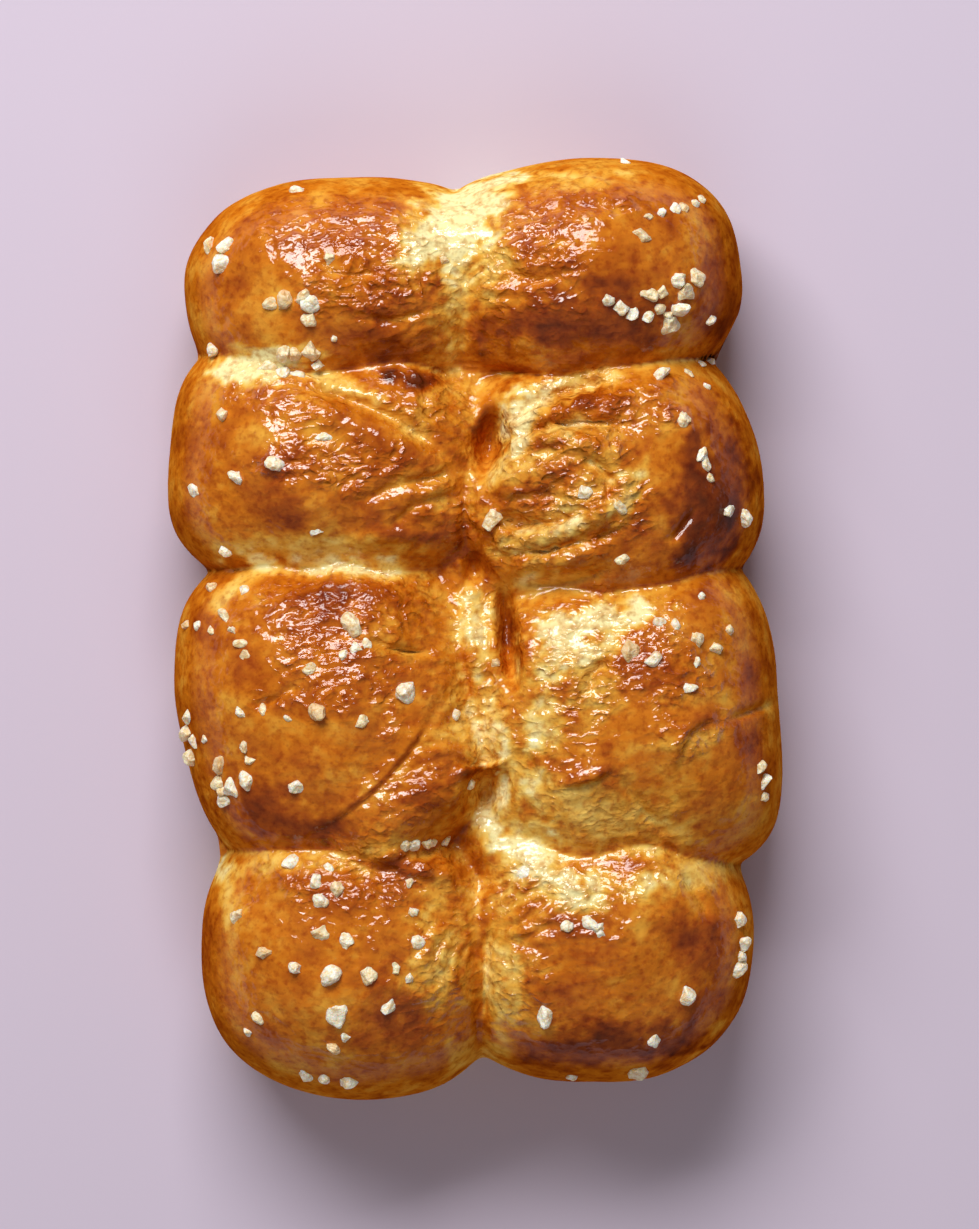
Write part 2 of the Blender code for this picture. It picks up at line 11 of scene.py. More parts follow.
import bmesh
import bpy
import numpy as np
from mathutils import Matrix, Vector


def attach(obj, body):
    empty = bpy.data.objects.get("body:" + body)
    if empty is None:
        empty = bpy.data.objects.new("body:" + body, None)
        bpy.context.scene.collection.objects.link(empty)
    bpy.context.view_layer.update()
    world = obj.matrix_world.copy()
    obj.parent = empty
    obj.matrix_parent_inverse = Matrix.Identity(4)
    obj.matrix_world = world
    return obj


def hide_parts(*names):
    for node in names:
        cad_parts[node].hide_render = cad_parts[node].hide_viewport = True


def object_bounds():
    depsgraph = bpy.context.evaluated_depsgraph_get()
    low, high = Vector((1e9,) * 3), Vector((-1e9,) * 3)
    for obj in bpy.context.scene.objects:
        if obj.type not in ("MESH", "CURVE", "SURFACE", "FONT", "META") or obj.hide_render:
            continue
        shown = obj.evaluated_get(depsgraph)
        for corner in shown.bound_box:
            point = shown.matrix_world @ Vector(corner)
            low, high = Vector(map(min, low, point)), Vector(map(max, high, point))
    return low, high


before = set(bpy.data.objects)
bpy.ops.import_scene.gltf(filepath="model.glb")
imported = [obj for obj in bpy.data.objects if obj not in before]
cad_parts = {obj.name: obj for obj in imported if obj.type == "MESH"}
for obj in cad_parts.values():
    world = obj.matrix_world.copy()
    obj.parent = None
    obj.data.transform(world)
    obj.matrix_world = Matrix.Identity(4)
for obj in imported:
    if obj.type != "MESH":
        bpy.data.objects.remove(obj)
cad_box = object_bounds()

# Driving dimensions.
LOAF_LENGTH = 0.255
LOAF_WIDTH = 0.166
WAIST_HEIGHT = 0.024  # where the loaf is widest, seen from the side
BASE_INSET = 0.011  # how far the sides curve in between the waist and the base
CREASE_ROUNDING = 0.0018
SWELLING_ROUNDING = 0.0040

# The balls of dough: centre, half length and half width of the dome, turn of its long axis in
# degrees, how square its outline is, height of its top, and the point near the seam that its
# skin is gathered to.
Ball = namedtuple("Ball", "x y half_length half_width turn square top gather_x gather_y")
BALLS = (
    Ball(-0.0330, 0.0910, 0.0450, 0.0308, 2, 2.4, 0.0650, -0.002, 0.084),
    Ball(0.0285, 0.0945, 0.0440, 0.0320, 4, 2.5, 0.0670, -0.004, 0.082),
    Ball(-0.0360, 0.0440, 0.0463, 0.0362, -5, 3.0, 0.0665, 0.002, 0.042),
    Ball(0.0325, 0.0388, 0.0455, 0.0402, 14, 2.6, 0.0670, -0.002, 0.036),
    Ball(-0.0362, -0.0215, 0.0432, 0.0488, 13, 2.60, 0.0685, 0.000, -0.008),
    Ball(0.0382, -0.0243, 0.0448, 0.0462, 5, 3.6, 0.0680, 0.004, -0.030),
    Ball(-0.0308, -0.0865, 0.0427, 0.0412, -3, 2.3, 0.0650, 0.000, -0.078),
    Ball(0.0325, -0.0845, 0.0435, 0.0388, 1, 2.3, 0.0640, 0.001, -0.080),
)
# Smaller swellings along the middle seam, where the balls were twisted into each other.
SWELLINGS = (
    Ball(-0.0190, -0.0440, 0.0350, 0.0225, 46, 2.2, 0.0670, 0.004, -0.030),
    Ball(0.0010, -0.0100, 0.0260, 0.0085, 100, 2.0, 0.0570, 0.004, 0.014),
    Ball(0.0180, -0.0670, 0.0210, 0.0150, -35, 2.0, 0.0590, 0.004, -0.080),
    Ball(0.0080, -0.0580, 0.0190, 0.0160, -30, 2.0, 0.0540, 0.004, -0.070),
    Ball(0.0200, 0.0420, 0.0230, 0.0095, 4, 2.2, 0.0680, 0.000, 0.040),
    Ball(-0.0020, 0.1010, 0.0190, 0.0170, 0, 2.0, 0.0590, -0.004, 0.082),
    Ball(-0.0010, 0.0000, 0.1080, 0.0190, 91, 3.0, 0.0520, 0.000, 0.000),
)
# The dough lower down, where the balls have run together.
BODY = Ball(-0.0010, -0.0010, 0.1150, 0.0700, 92, 5.0, 0.0480, 0.0, 0.0)
BODY_POWER = 1.3
DOME_POWER = 2.2  # 2 is an ellipse in section, and more is fuller at the shoulder

# Folds of the skin, each along a bent line through three points: ridges stand up, grooves sink
# in, and a lip is skin that ends above its left side. Width and height are those of the fold's
# section.
Fold = namedtuple("Fold", "kind start middle end width height")
FOLDS = (
    Fold("groove", (-0.050, 0.064), (-0.026, 0.058), (-0.004, 0.043), 0.0016, 0.0034),
    Fold("ridge", (-0.048, 0.060), (-0.028, 0.052), (-0.008, 0.041), 0.0034, 0.0018),
    Fold("groove", (-0.034, 0.031), (-0.016, 0.039), (-0.001, 0.040), 0.0017, 0.0022),
    Fold("groove", (-0.024, 0.024), (-0.014, 0.033), (-0.002, 0.035), 0.0017, 0.0018),
    Fold("ridge", (-0.038, 0.021), (-0.022, 0.024), (-0.006, 0.021), 0.0028, 0.0018),
    Fold("groove", (-0.041, 0.099), (-0.034, 0.094), (-0.021, 0.096), 0.0013, 0.0020),
    Fold("groove", (-0.034, 0.084), (-0.022, 0.082), (-0.010, 0.086), 0.0014, 0.0018),
    Fold("groove", (0.004, 0.100), (0.014, 0.093), (0.026, 0.094), 0.0015, 0.0018),
    Fold("groove", (0.012, 0.120), (0.026, 0.121), (0.040, 0.117), 0.0011, 0.0012),
    Fold("ridge", (0.009, 0.059), (0.018, 0.067), (0.040, 0.069), 0.0034, 0.0022),
    Fold("groove", (0.010, 0.054), (0.022, 0.062), (0.044, 0.066), 0.0018, 0.0034),
    Fold("ridge", (0.013, 0.053), (0.026, 0.059), (0.048, 0.060), 0.0030, 0.0022),
    Fold("groove", (0.011, 0.049), (0.025, 0.0545), (0.048, 0.053), 0.0017, 0.0034),
    Fold("ridge", (0.009, 0.046), (0.024, 0.051), (0.042, 0.041), 0.0026, 0.0026),
    Fold("groove", (0.026, 0.046), (0.035, 0.041), (0.035, 0.031), 0.0018, 0.0028),
    Fold("groove", (0.004, 0.031), (0.018, 0.0275), (0.034, 0.032), 0.0024, 0.0040),
    Fold("ridge", (0.006, 0.023), (0.022, 0.026), (0.046, 0.035), 0.0026, 0.0026),
    Fold("groove", (0.005, 0.021), (0.020, 0.0205), (0.046, 0.029), 0.0013, 0.0020),
    Fold("ridge", (0.006, 0.017), (0.020, 0.017), (0.040, 0.023), 0.0028, 0.0020),
    Fold("groove", (0.008, 0.013), (0.024, 0.012), (0.042, 0.018), 0.0016, 0.0026),
    Fold("groove", (0.051, 0.022), (0.056, 0.027), (0.060, 0.033), 0.0011, 0.0022),
    Fold("groove", (-0.028, -0.002), (-0.020, -0.006), (-0.008, -0.006), 0.0012, 0.0030),
    Fold("lip", (-0.008, -0.016), (-0.024, -0.041), (-0.050, -0.058), 0.0050, 0.0011),
    Fold("groove", (-0.060, -0.022), (-0.052, -0.019), (-0.044, -0.013), 0.0013, 0.0020),
    Fold("ridge", (-0.058, 0.004), (-0.034, 0.010), (-0.008, 0.006), 0.0036, 0.0016),
    Fold("groove", (0.083, -0.020), (0.076, -0.022), (0.067, -0.025), 0.0010, 0.0030),
    Fold("lip", (0.068, -0.0245), (0.058, -0.028), (0.054, -0.042), 0.0040, 0.0014),
    Fold("lip", (0.038, -0.037), (0.031, -0.041), (0.020, -0.043), 0.0040, 0.0022),
    Fold("groove", (0.038, -0.037), (0.045, -0.048), (0.054, -0.056), 0.0015, 0.0018),
    Fold("groove", (0.034, -0.020), (0.032, -0.012), (0.040, -0.011), 0.0016, 0.0020),
    Fold("groove", (0.056, -0.066), (0.060, -0.072), (0.064, -0.080), 0.0014, 0.0022),
    Fold("ridge", (-0.030, -0.059), (-0.014, -0.064), (0.002, -0.067), 0.0026, 0.0026),
    Fold("lip", (-0.006, -0.036), (0.002, -0.037), (0.010, -0.034), 0.0036, 0.0040),
    Fold("groove", (0.004, -0.078), (0.0035, -0.092), (0.003, -0.108), 0.0013, 0.0040),
)
# Hollows between the balls that open down into the loaf: centre, half length, half width, turn
# and depth.
Hollow = namedtuple("Hollow", "x y half_length half_width turn depth")
HOLLOWS = (
    Hollow(0.0048, 0.0495, 0.0085, 0.0038, 80, 0.0130),
    Hollow(0.0095, -0.0030, 0.0110, 0.0026, 96, 0.0130),
    Hollow(0.0040, -0.0430, 0.0060, 0.0050, 60, 0.0060),
    Hollow(0.0000, 0.0150, 0.0040, 0.0024, 80, 0.0050),
)
GATHER_REACH = 0.034  # how far from its gathering point a ball's skin is wrinkled
GATHER_DEPTH = 0.0012
GATHER_LENGTH = 0.018  # about how long a gather is before it ends or forks
GATHERS_PER_RADIAN = 3.2
LIP_STEP = 0.0006  # half the width over which a lip's edge rises
LIP_SHADE = 0.0015  # how far the groove reaches that runs along a lip's foot
RELIEF_RISE = 0.008  # how far over the waist the relief reaches its full depth
SWELL_DEPTH = 0.0016  # broad unevenness of the domes
SWELL_SIZE = 0.022
WANDER_DEPTH = 0.0034  # how far the creases between the balls stray from even curves
WANDER_SIZE = 0.020

# Pearl sugar lies singly or in short trails: start, end, number of grains and their radius.
Trail = namedtuple("Trail", "start end grains size")
TRAILS = (
    Trail((-0.070, 0.103), (-0.066, 0.102), 2, 0.0026),
    Trail((-0.067, 0.097), (-0.067, 0.097), 1, 0.0026),
    Trail((-0.0465, 0.117), (-0.0465, 0.117), 1, 0.0023),
    Trail((-0.038, 0.0985), (-0.038, 0.0985), 1, 0.0022),
    Trail((-0.054, 0.087), (-0.045, 0.0885), 3, 0.0027),
    Trail((-0.043, 0.087), (-0.0435, 0.083), 2, 0.0026),
    Trail((-0.037, 0.077), (-0.0075, 0.098), 2, 0.0014),
    Trail((-0.0695, 0.0745), (-0.0695, 0.0745), 1, 0.0025),
    Trail((-0.051, 0.074), (-0.043, 0.0735), 3, 0.0025),
    Trail((-0.055, 0.0695), (-0.047, 0.068), 3, 0.0024),
    Trail((-0.0415, 0.0705), (-0.0415, 0.0705), 1, 0.0019),
    Trail((-0.067, 0.057), (-0.067, 0.057), 1, 0.0025),
    Trail((-0.0525, 0.0435), (-0.0525, 0.0435), 1, 0.0028),
    Trail((-0.0395, 0.0505), (-0.0395, 0.0505), 1, 0.0022),
    Trail((-0.075, 0.037), (-0.0635, 0.0405), 2, 0.0021),
    Trail((-0.0415, 0.026), (-0.0655, 0.0205), 2, 0.0019),
    Trail((-0.070, 0.010), (-0.061, 0.010), 2, 0.0017),
    Trail((-0.077, 0.0005), (-0.070, -0.0005), 3, 0.0017),
    Trail((-0.066, 0.003), (-0.060, -0.007), 4, 0.0019),
    Trail((-0.032, 0.001), (-0.032, 0.001), 1, 0.0031),
    Trail((-0.0285, -0.0045), (-0.035, -0.0075), 3, 0.0019),
    Trail((-0.043, -0.011), (-0.043, -0.011), 1, 0.0021),
    Trail((-0.018, -0.0175), (-0.018, -0.0175), 1, 0.0033),
    Trail((-0.0555, -0.022), (-0.0495, -0.0245), 2, 0.0016),
    Trail((-0.041, -0.022), (-0.0295, -0.0255), 2, 0.0025),
    Trail((-0.0615, -0.0235), (-0.0615, -0.0315), 2, 0.0019),
    Trail((-0.0765, -0.024), (-0.0745, -0.035), 4, 0.0023),
    Trail((-0.0715, -0.030), (-0.0715, -0.030), 1, 0.0016),
    Trail((-0.0675, -0.036), (-0.0600, -0.035), 2, 0.0026),
    Trail((-0.0685, -0.0415), (-0.0655, -0.0465), 3, 0.0025),
    Trail((-0.0645, -0.043), (-0.0595, -0.040), 2, 0.0027),
    Trail((-0.047, -0.042), (-0.047, -0.042), 1, 0.0023),
    Trail((-0.0055, -0.024), (-0.0005, -0.042), 2, 0.0019),
    Trail((-0.0185, -0.0575), (-0.0075, -0.057), 5, 0.0019),
    Trail((-0.0485, -0.063), (-0.0385, -0.0645), 2, 0.0021),
    Trail((-0.041, -0.0675), (-0.036, -0.070), 2, 0.0023),
    Trail((-0.0405, -0.072), (-0.040, -0.082), 2, 0.0026),
    Trail((-0.034, -0.0835), (-0.034, -0.0835), 1, 0.0029),
    Trail((-0.063, -0.0775), (-0.063, -0.0775), 1, 0.0021),
    Trail((-0.0555, -0.087), (-0.0555, -0.087), 1, 0.0024),
    Trail((-0.047, -0.091), (-0.0375, -0.0935), 2, 0.0028),
    Trail((-0.028, -0.0925), (-0.028, -0.0925), 1, 0.0028),
    Trail((-0.0215, -0.091), (-0.0175, -0.0935), 2, 0.0018),
    Trail((-0.0225, -0.1005), (-0.0225, -0.1005), 1, 0.0025),
    Trail((-0.017, -0.068), (-0.0155, -0.084), 3, 0.0019),
    Trail((-0.036, -0.103), (-0.036, -0.103), 1, 0.0028),
    Trail((-0.0565, -0.104), (-0.0605, -0.108), 2, 0.0018),
    Trail((-0.034, -0.109), (-0.0375, -0.112), 2, 0.0021),
    Trail((-0.0445, -0.120), (-0.0405, -0.120), 2, 0.0023),
    Trail((-0.033, -0.1215), (-0.033, -0.1215), 1, 0.0026),
    Trail((0.041, 0.125), (0.041, 0.125), 1, 0.0017),
    Trail((0.054, 0.1115), (0.062, 0.1145), 4, 0.0018),
    Trail((0.047, 0.1095), (0.0505, 0.111), 2, 0.0018),
    Trail((0.045, 0.1045), (0.045, 0.1045), 1, 0.0023),
    Trail((0.0505, 0.0895), (0.0600, 0.094), 3, 0.0025),
    Trail((0.0565, 0.089), (0.0535, 0.081), 3, 0.0027),
    Trail((0.0465, 0.0885), (0.052, 0.083), 3, 0.0023),
    Trail((0.037, 0.0875), (0.0425, 0.083), 3, 0.0023),
    Trail((0.0465, 0.0825), (0.0635, 0.0825), 2, 0.0021),
    Trail((0.050, 0.067), (0.050, 0.067), 1, 0.0028),
    Trail((0.0575, 0.068), (0.063, 0.064), 2, 0.0016),
    Trail((0.0605, 0.071), (0.063, 0.071), 2, 0.0014),
    Trail((0.0565, 0.0555), (0.0565, 0.0555), 1, 0.0024),
    Trail((0.061, 0.0465), (0.064, 0.0405), 3, 0.0021),
    Trail((0.0685, 0.0315), (0.0725, 0.030), 2, 0.0023),
    Trail((0.0295, 0.036), (0.040, 0.0315), 2, 0.0021),
    Trail((0.040, 0.0185), (0.040, 0.0185), 1, 0.0023),
    Trail((0.0055, 0.029), (0.0055, 0.029), 1, 0.0025),
    Trail((0.0505, 0.0008), (0.0535, 0.000), 2, 0.0018),
    Trail((0.060, -0.003), (0.0645, -0.0055), 2, 0.0023),
    Trail((0.0615, 0.008), (0.068, 0.000), 2, 0.0017),
    Trail((0.0425, -0.0065), (0.048, -0.0085), 2, 0.0026),
    Trail((0.059, -0.010), (0.0575, -0.0155), 2, 0.0019),
    Trail((0.006, -0.0095), (0.006, -0.0095), 1, 0.0018),
    Trail((0.077, -0.0375), (0.078, -0.045), 3, 0.0021),
    Trail((0.014, -0.066), (0.014, -0.066), 1, 0.0021),
    Trail((0.025, -0.080), (0.025, -0.080), 1, 0.0021),
    Trail((0.031, -0.079), (0.035, -0.081), 3, 0.0019),
    Trail((0.071, -0.0785), (0.071, -0.0785), 1, 0.0024),
    Trail((0.072, -0.085), (0.071, -0.0915), 3, 0.0022),
    Trail((0.057, -0.098), (0.057, -0.098), 1, 0.0027),
    Trail((0.019, -0.103), (0.019, -0.103), 1, 0.0025),
    Trail((0.049, -0.110), (0.049, -0.110), 1, 0.0023),
    Trail((0.0445, -0.119), (0.0445, -0.119), 1, 0.0026),
    Trail((0.0265, -0.1205), (0.0265, -0.1205), 1, 0.0019),
)
GRAIN_SCATTER = 0.0007  # how far a grain lies off its trail
SIZE_SPREAD = 0.15  # how much a grain's radius differs from its trail's
SUGAR_SEED = 11

# The mesh runs in rings from the middle of the top out to the waist, and then down to the base.
WAIST_RING = 0.90  # share of the way from the middle of the mesh to its edge where the waist is
EVEN_SHARE = 0.85  # share of the plan that has even steps, before they close up towards the waist
RIM_HEIGHT = 0.060  # most that the top may stand over the waist, falling to nothing at the outline
RIM_POWER = 10  # the more, the nearer to the outline it falls
NOISE_CELLS = 32  # the noise repeats after this many cells

# The crust's look. Bake, with the painted shade and light added to it, runs from 0, pale stretched
# dough, to 1, dark brown.
Shade = namedtuple("Shade", "bake colour")
SHADES = (
    Shade(0.00, (0.93, 0.81, 0.39)),
    Shade(0.18, (0.88, 0.59, 0.135)),
    Shade(0.36, (0.78, 0.37, 0.040)),
    Shade(0.54, (0.61, 0.175, 0.008)),
    Shade(0.70, (0.40, 0.080, 0.004)),
    Shade(0.85, (0.22, 0.036, 0.004)),
    Shade(1.00, (0.10, 0.020, 0.006)),
)
Patch = namedtuple("Patch", "x y half_length half_width turn amount")
# Where the crust is baked paler, with a negative amount, or darker than around it; the darker
# patches marked below are wholly or partly painted shade.
BAKE_AND_PAINTED_SHADE = (
    Patch(-0.005, 0.109, 0.015, 0.010, 50, -0.50),
    Patch(0.006, 0.118, 0.012, 0.006, 40, -0.45),
    Patch(-0.014, 0.104, 0.008, 0.010, 0, -0.25),
    Patch(0.024, 0.120, 0.018, 0.004, 3, -0.22),
    Patch(-0.004, 0.088, 0.004, 0.022, 0, -0.32),
    Patch(0.003, 0.096, 0.008, 0.012, 0, -0.22),
    Patch(-0.056, 0.0700, 0.014, 0.0050, 5, -0.85),
    Patch(-0.036, 0.0655, 0.016, 0.0028, -20, -0.36),
    Patch(-0.036, 0.0165, 0.024, 0.0030, -2, -0.42),
    Patch(-0.062, 0.012, 0.012, 0.003, 35, -0.25),
    Patch(0.012, 0.057, 0.0045, 0.010, 0, -0.42),
    Patch(0.024, 0.0655, 0.018, 0.0028, 10, -0.32),
    Patch(0.020, 0.0515, 0.012, 0.0024, 22, -0.32),
    Patch(0.041, 0.036, 0.010, 0.0040, 65, -0.38),
    Patch(0.017, 0.0600, 0.012, 0.0045, 32, -0.30),
    Patch(0.021, 0.0180, 0.015, 0.0038, 28, -0.26),
    Patch(0.034, 0.0455, 0.010, 0.0032, -28, -0.24),
    Patch(0.026, 0.0335, 0.012, 0.0022, 25, -0.14),
    Patch(0.017, 0.0245, 0.013, 0.0034, 15, -0.42),
    Patch(0.030, 0.028, 0.012, 0.003, 35, -0.22),
    Patch(0.015, 0.012, 0.010, 0.003, 10, -0.22),
    Patch(0.032, 0.001, 0.018, 0.0050, 14, -0.66),
    Patch(0.031, -0.006, 0.010, 0.004, 10, -0.38),
    Patch(0.019, -0.010, 0.007, 0.009, 0, -0.34),
    Patch(0.019, -0.026, 0.006, 0.011, 0, -0.32),
    Patch(0.031, -0.015, 0.007, 0.010, 0, -0.18),
    Patch(0.001, 0.000, 0.005, 0.013, 10, -0.30),
    Patch(0.003, -0.025, 0.006, 0.012, 0, -0.34),
    Patch(0.004, -0.046, 0.006, 0.012, 0, -0.28),
    Patch(0.013, -0.058, 0.008, 0.008, 0, -0.40),
    Patch(0.026, -0.070, 0.011, 0.005, -25, -0.48),
    Patch(0.040, -0.068, 0.013, 0.0045, -10, -0.26),
    Patch(0.060, -0.066, 0.016, 0.004, 8, -0.22),
    Patch(-0.066, -0.070, 0.004, 0.012, 10, -0.30),
    Patch(-0.040, -0.062, 0.030, 0.0035, 8, -0.22),
    Patch(-0.010, -0.090, 0.006, 0.020, 0, -0.22),
    Patch(0.008, -0.094, 0.006, 0.020, 0, -0.25),
    Patch(0.002, -0.116, 0.010, 0.006, 0, -0.20),
    # Darker in the crease under the top left ball: painted shade.
    Patch(-0.014, 0.0665, 0.010, 0.0030, -5, 0.42),
    # Darker on the lower sides of the top two balls: partly deeper bake, partly painted shade.
    Patch(-0.030, 0.076, 0.026, 0.006, 0, 0.10),
    Patch(0.032, 0.082, 0.030, 0.009, 3, 0.22),
    Patch(0.034, 0.048, 0.012, 0.006, 0, -0.14),
    # Darker on the right side of the top right ball: partly deeper bake, partly painted shade.
    Patch(0.066, 0.088, 0.009, 0.018, 0, 0.14),
    Patch(-0.026, 0.031, 0.024, 0.006, 2, 0.08),
    Patch(-0.056, 0.036, 0.016, 0.012, 0, 0.10),
    Patch(-0.075, 0.042, 0.006, 0.020, 0, 0.12),
    Patch(-0.075, -0.020, 0.006, 0.024, 0, 0.05),
    Patch(-0.072, -0.090, 0.006, 0.020, 0, 0.06),
    Patch(0.040, 0.100, 0.016, 0.012, 0, 0.10),
    Patch(0.075, -0.022, 0.006, 0.020, 0, 0.14),
    Patch(-0.012, 0.0245, 0.012, 0.0025, 5, 0.10),
    Patch(-0.040, 0.0215, 0.026, 0.0035, 0, -0.30),
    Patch(0.018, 0.0390, 0.014, 0.0070, -6, -0.10),
    # Darker in the two hollows at the middle seam: painted shade.
    Patch(0.0045, 0.0500, 0.0040, 0.0080, 0, 0.07),
    Patch(0.0095, -0.001, 0.0024, 0.0060, 0, 0.30),
    # Darker on the right side of the second right ball: partly deeper bake, partly painted shade.
    Patch(0.064, 0.034, 0.012, 0.020, 0, 0.34),
    Patch(-0.040, -0.008, 0.026, 0.014, 0, 0.10),
    # Darker on the lower side of the third left ball: partly deeper bake, partly painted shade.
    Patch(-0.052, -0.050, 0.022, 0.009, -22, 0.22),
    Patch(0.034, -0.050, 0.024, 0.009, -20, -0.28),
    Patch(0.003, -0.057, 0.004, 0.006, 0, -0.12),
    Patch(0.010, -0.047, 0.005, 0.010, 0, -0.15),
    Patch(0.056, -0.030, 0.014, 0.003, 12, -0.22),
    Patch(0.012, -0.040, 0.006, 0.010, 0, -0.20),
    Patch(-0.016, -0.040, 0.016, 0.012, 40, 0.08),
    Patch(0.048, -0.012, 0.016, 0.008, 0, 0.08),
    Patch(0.028, -0.080, 0.012, 0.004, 0, 0.22),
    Patch(0.062, -0.090, 0.010, 0.016, 0, 0.14),
    # Darker on the lower sides of the bottom two balls: partly deeper bake, partly painted shade.
    Patch(-0.022, -0.108, 0.018, 0.008, 0, 0.14),
    Patch(0.036, -0.112, 0.028, 0.006, 5, 0.28),
)
# Where the skin is wrinkled; elsewhere, but for the gathering points, it is nearly smooth.
WRINKLED = (
    Patch(-0.034, 0.107, 0.026, 0.014, -8, 0.60),
    Patch(-0.028, 0.091, 0.022, 0.010, 0, 0.9),
    Patch(-0.006, 0.095, 0.009, 0.020, 0, 0.5),
    Patch(0.020, 0.113, 0.024, 0.012, 5, 0.65),
    Patch(0.016, 0.096, 0.018, 0.014, 0, 0.75),
    Patch(-0.048, 0.062, 0.020, 0.010, -12, 0.6),
    Patch(-0.038, 0.044, 0.022, 0.008, 0, 0.8),
    Patch(-0.012, 0.060, 0.014, 0.012, -30, 0.7),
    Patch(-0.010, 0.036, 0.012, 0.010, 0, 0.5),
    Patch(0.028, 0.055, 0.026, 0.014, 10, 1.0),
    Patch(0.022, 0.030, 0.026, 0.018, 5, 1.0),
    Patch(-0.034, 0.006, 0.030, 0.014, 0, 0.70),
    Patch(-0.034, -0.014, 0.024, 0.014, 0, 0.60),
    Patch(0.028, -0.008, 0.018, 0.020, 0, 0.7),
    Patch(0.052, -0.008, 0.014, 0.016, 0, 0.70),
    Patch(0.056, -0.029, 0.014, 0.006, 10, 0.6),
    Patch(0.026, -0.038, 0.018, 0.018, 0, 0.4),
    Patch(0.040, -0.056, 0.026, 0.012, -25, 0.45),
    Patch(0.003, -0.025, 0.008, 0.040, 0, 0.6),
    Patch(-0.018, -0.046, 0.022, 0.012, 40, 0.5),
    Patch(-0.030, -0.066, 0.030, 0.010, 0, 0.75),
    Patch(-0.010, -0.086, 0.010, 0.022, 0, 0.5),
    Patch(0.022, -0.072, 0.026, 0.010, -10, 0.65),
    Patch(0.012, -0.092, 0.010, 0.018, 0, 0.5),
)
DOME_BAKE = 0.55  # of plain skin
CREASE_PALE_AND_PAINTED_LIGHT = 0.26  # how much paler the creases are on the side that faces +Y, towards the window: partly pale stretched dough, partly painted light
CREASE_PAINTED_SHADE = 0.14  # and how much darker on the other side, facing away from the window: painted shade
CREASE_REACH = 0.0050  # as a difference of height between two balls
BAKE_MOTTLE = 0.15
FOLD_BAKE = 60.0  # how much browner a metre of relief would make it
CRINKLE_DEPTH = 0.00085
CRINKLE_SIZE = 0.0052
CRINKLE_STRETCH = 0.62  # the wrinkles are longer along X
SMOOTH_SKIN = 0.12  # how wrinkled the smoothest skin is
SEAM_WRINKLES = 0.25  # how much more wrinkled it is at the gathering points
SEAM_REACH = 0.024
WRINKLES_FROM, WRINKLES_FULL = 0.020, 0.045  # heights over the floor between which they begin
STEEP, LEVEL = 0.42, 0.90  # how far up the skin faces where it has no egg wash, and all of it
MOTTLES = ((1.0, 0.016, 41), (0.8, 0.0055, 42), (0.5, 0.0022, 45))  # strength, size and seed
STREAK_BAKE = 0.14  # streaks of paler and browner skin at the gathering points
STREAK_REACH = 0.035
STREAK_SIZE = 0.0018
FOOT_PALE = 0.20  # how much paler the sides are at the foot of the loaf
FOOT_FROM, FOOT_TO = 0.001, 0.016

# The glaze, and the finest relief of the skin under it, which is noise in the material.
GLAZE_IOR = 1.7
GLAZE_ROUGHNESS = 0.10
RIDGE_SIZE = 0.0030
RIDGE_STRETCH = 0.70
RIDGE_HEIGHT = 0.00060
BLISTER_SIZE = 0.0021
BLISTER_HEIGHT = 0.00070
PORE_SIZE = 0.0006
PORE_HEIGHT = 0.00003
MOTTLE_SIZE = 0.0020
MOTTLE_TINT = (0.72, 0.53, 0.40)
CREST_TINT = (0.84, 0.62, 0.45)
FRECKLES_PER_METRE = 620
FRECKLE_TINT = (0.60, 0.42, 0.36)
UNDERSIDE_COLOURS = ((0.42, 0.17, 0.040), (0.22, 0.070, 0.014))

# The fine mesh: steps over the top and down each side.
FINE_ACROSS = 222
FINE_ALONG = 340
FINE_DOWN = 16
SUGAR_LEVEL = 3  # subdivisions of each grain's sphere
SUGAR_CUTS = 9  # flat faces broken on each grain
SUGAR_CUT_DEPTHS = (0.55, 0.85)  # how far from the middle they are, in radii
GRAIN_STRETCHES = ((0.8, 1.3), (0.75, 1.0), (0.65, 0.9))  # least and most, along each axis
SUGAR_TINTS = ((0.96, 0.90, 0.74), (0.91, 0.78, 0.53), (0.82, 0.62, 0.36))
SUGAR_TINT_SHARES = (0.58, 0.34, 0.08)
SUGAR_SHADE = (0.86, 0.70, 0.48)  # the tint of a grain's duller spots
SUGAR_GLOW_DEPTH = 0.0014  # how far light spreads inside a grain
SUGAR_SINK = 0.0008  # how far a grain's centre lies under the crust

# The view: the photo looks straight down.
VIEW_LONG = 0.3327  # the long side of what it shows, at the height of the loaf's waist
VIEW_MIDDLE = (0.0045, 0.0035)  # where its middle is
CAMERA_HEIGHT = 2.5
FLOOR_COLOUR = (0.61, 0.525, 0.635)
FLOOR_SIZE = 16

# Soft window light from the photo's top, a little from the left, and a weak fill from its bottom.
Light = namedtuple("Light", "name place target size power")
WINDOW = Light("window", (-0.34, 1.07, 1.20), (0, 0, 0.04), (1.30, 0.70), 32)
FILL = Light("fill", (0.12, -1.20, 1.60), (0, 0, 0.02), (1.6, 1.2), 8)
ROOM_COLOUR = (1.0, 0.98, 0.96)
ROOM_STRENGTH = 0.11


@lru_cache
def noise_slopes(seed):
    """A random direction for each corner of the noise's cells."""
    draws = np.random.RandomState(seed).normal(size=(NOISE_CELLS,) * 3 + (3,))
    return draws / np.linalg.norm(draws, axis=-1, keepdims=True)


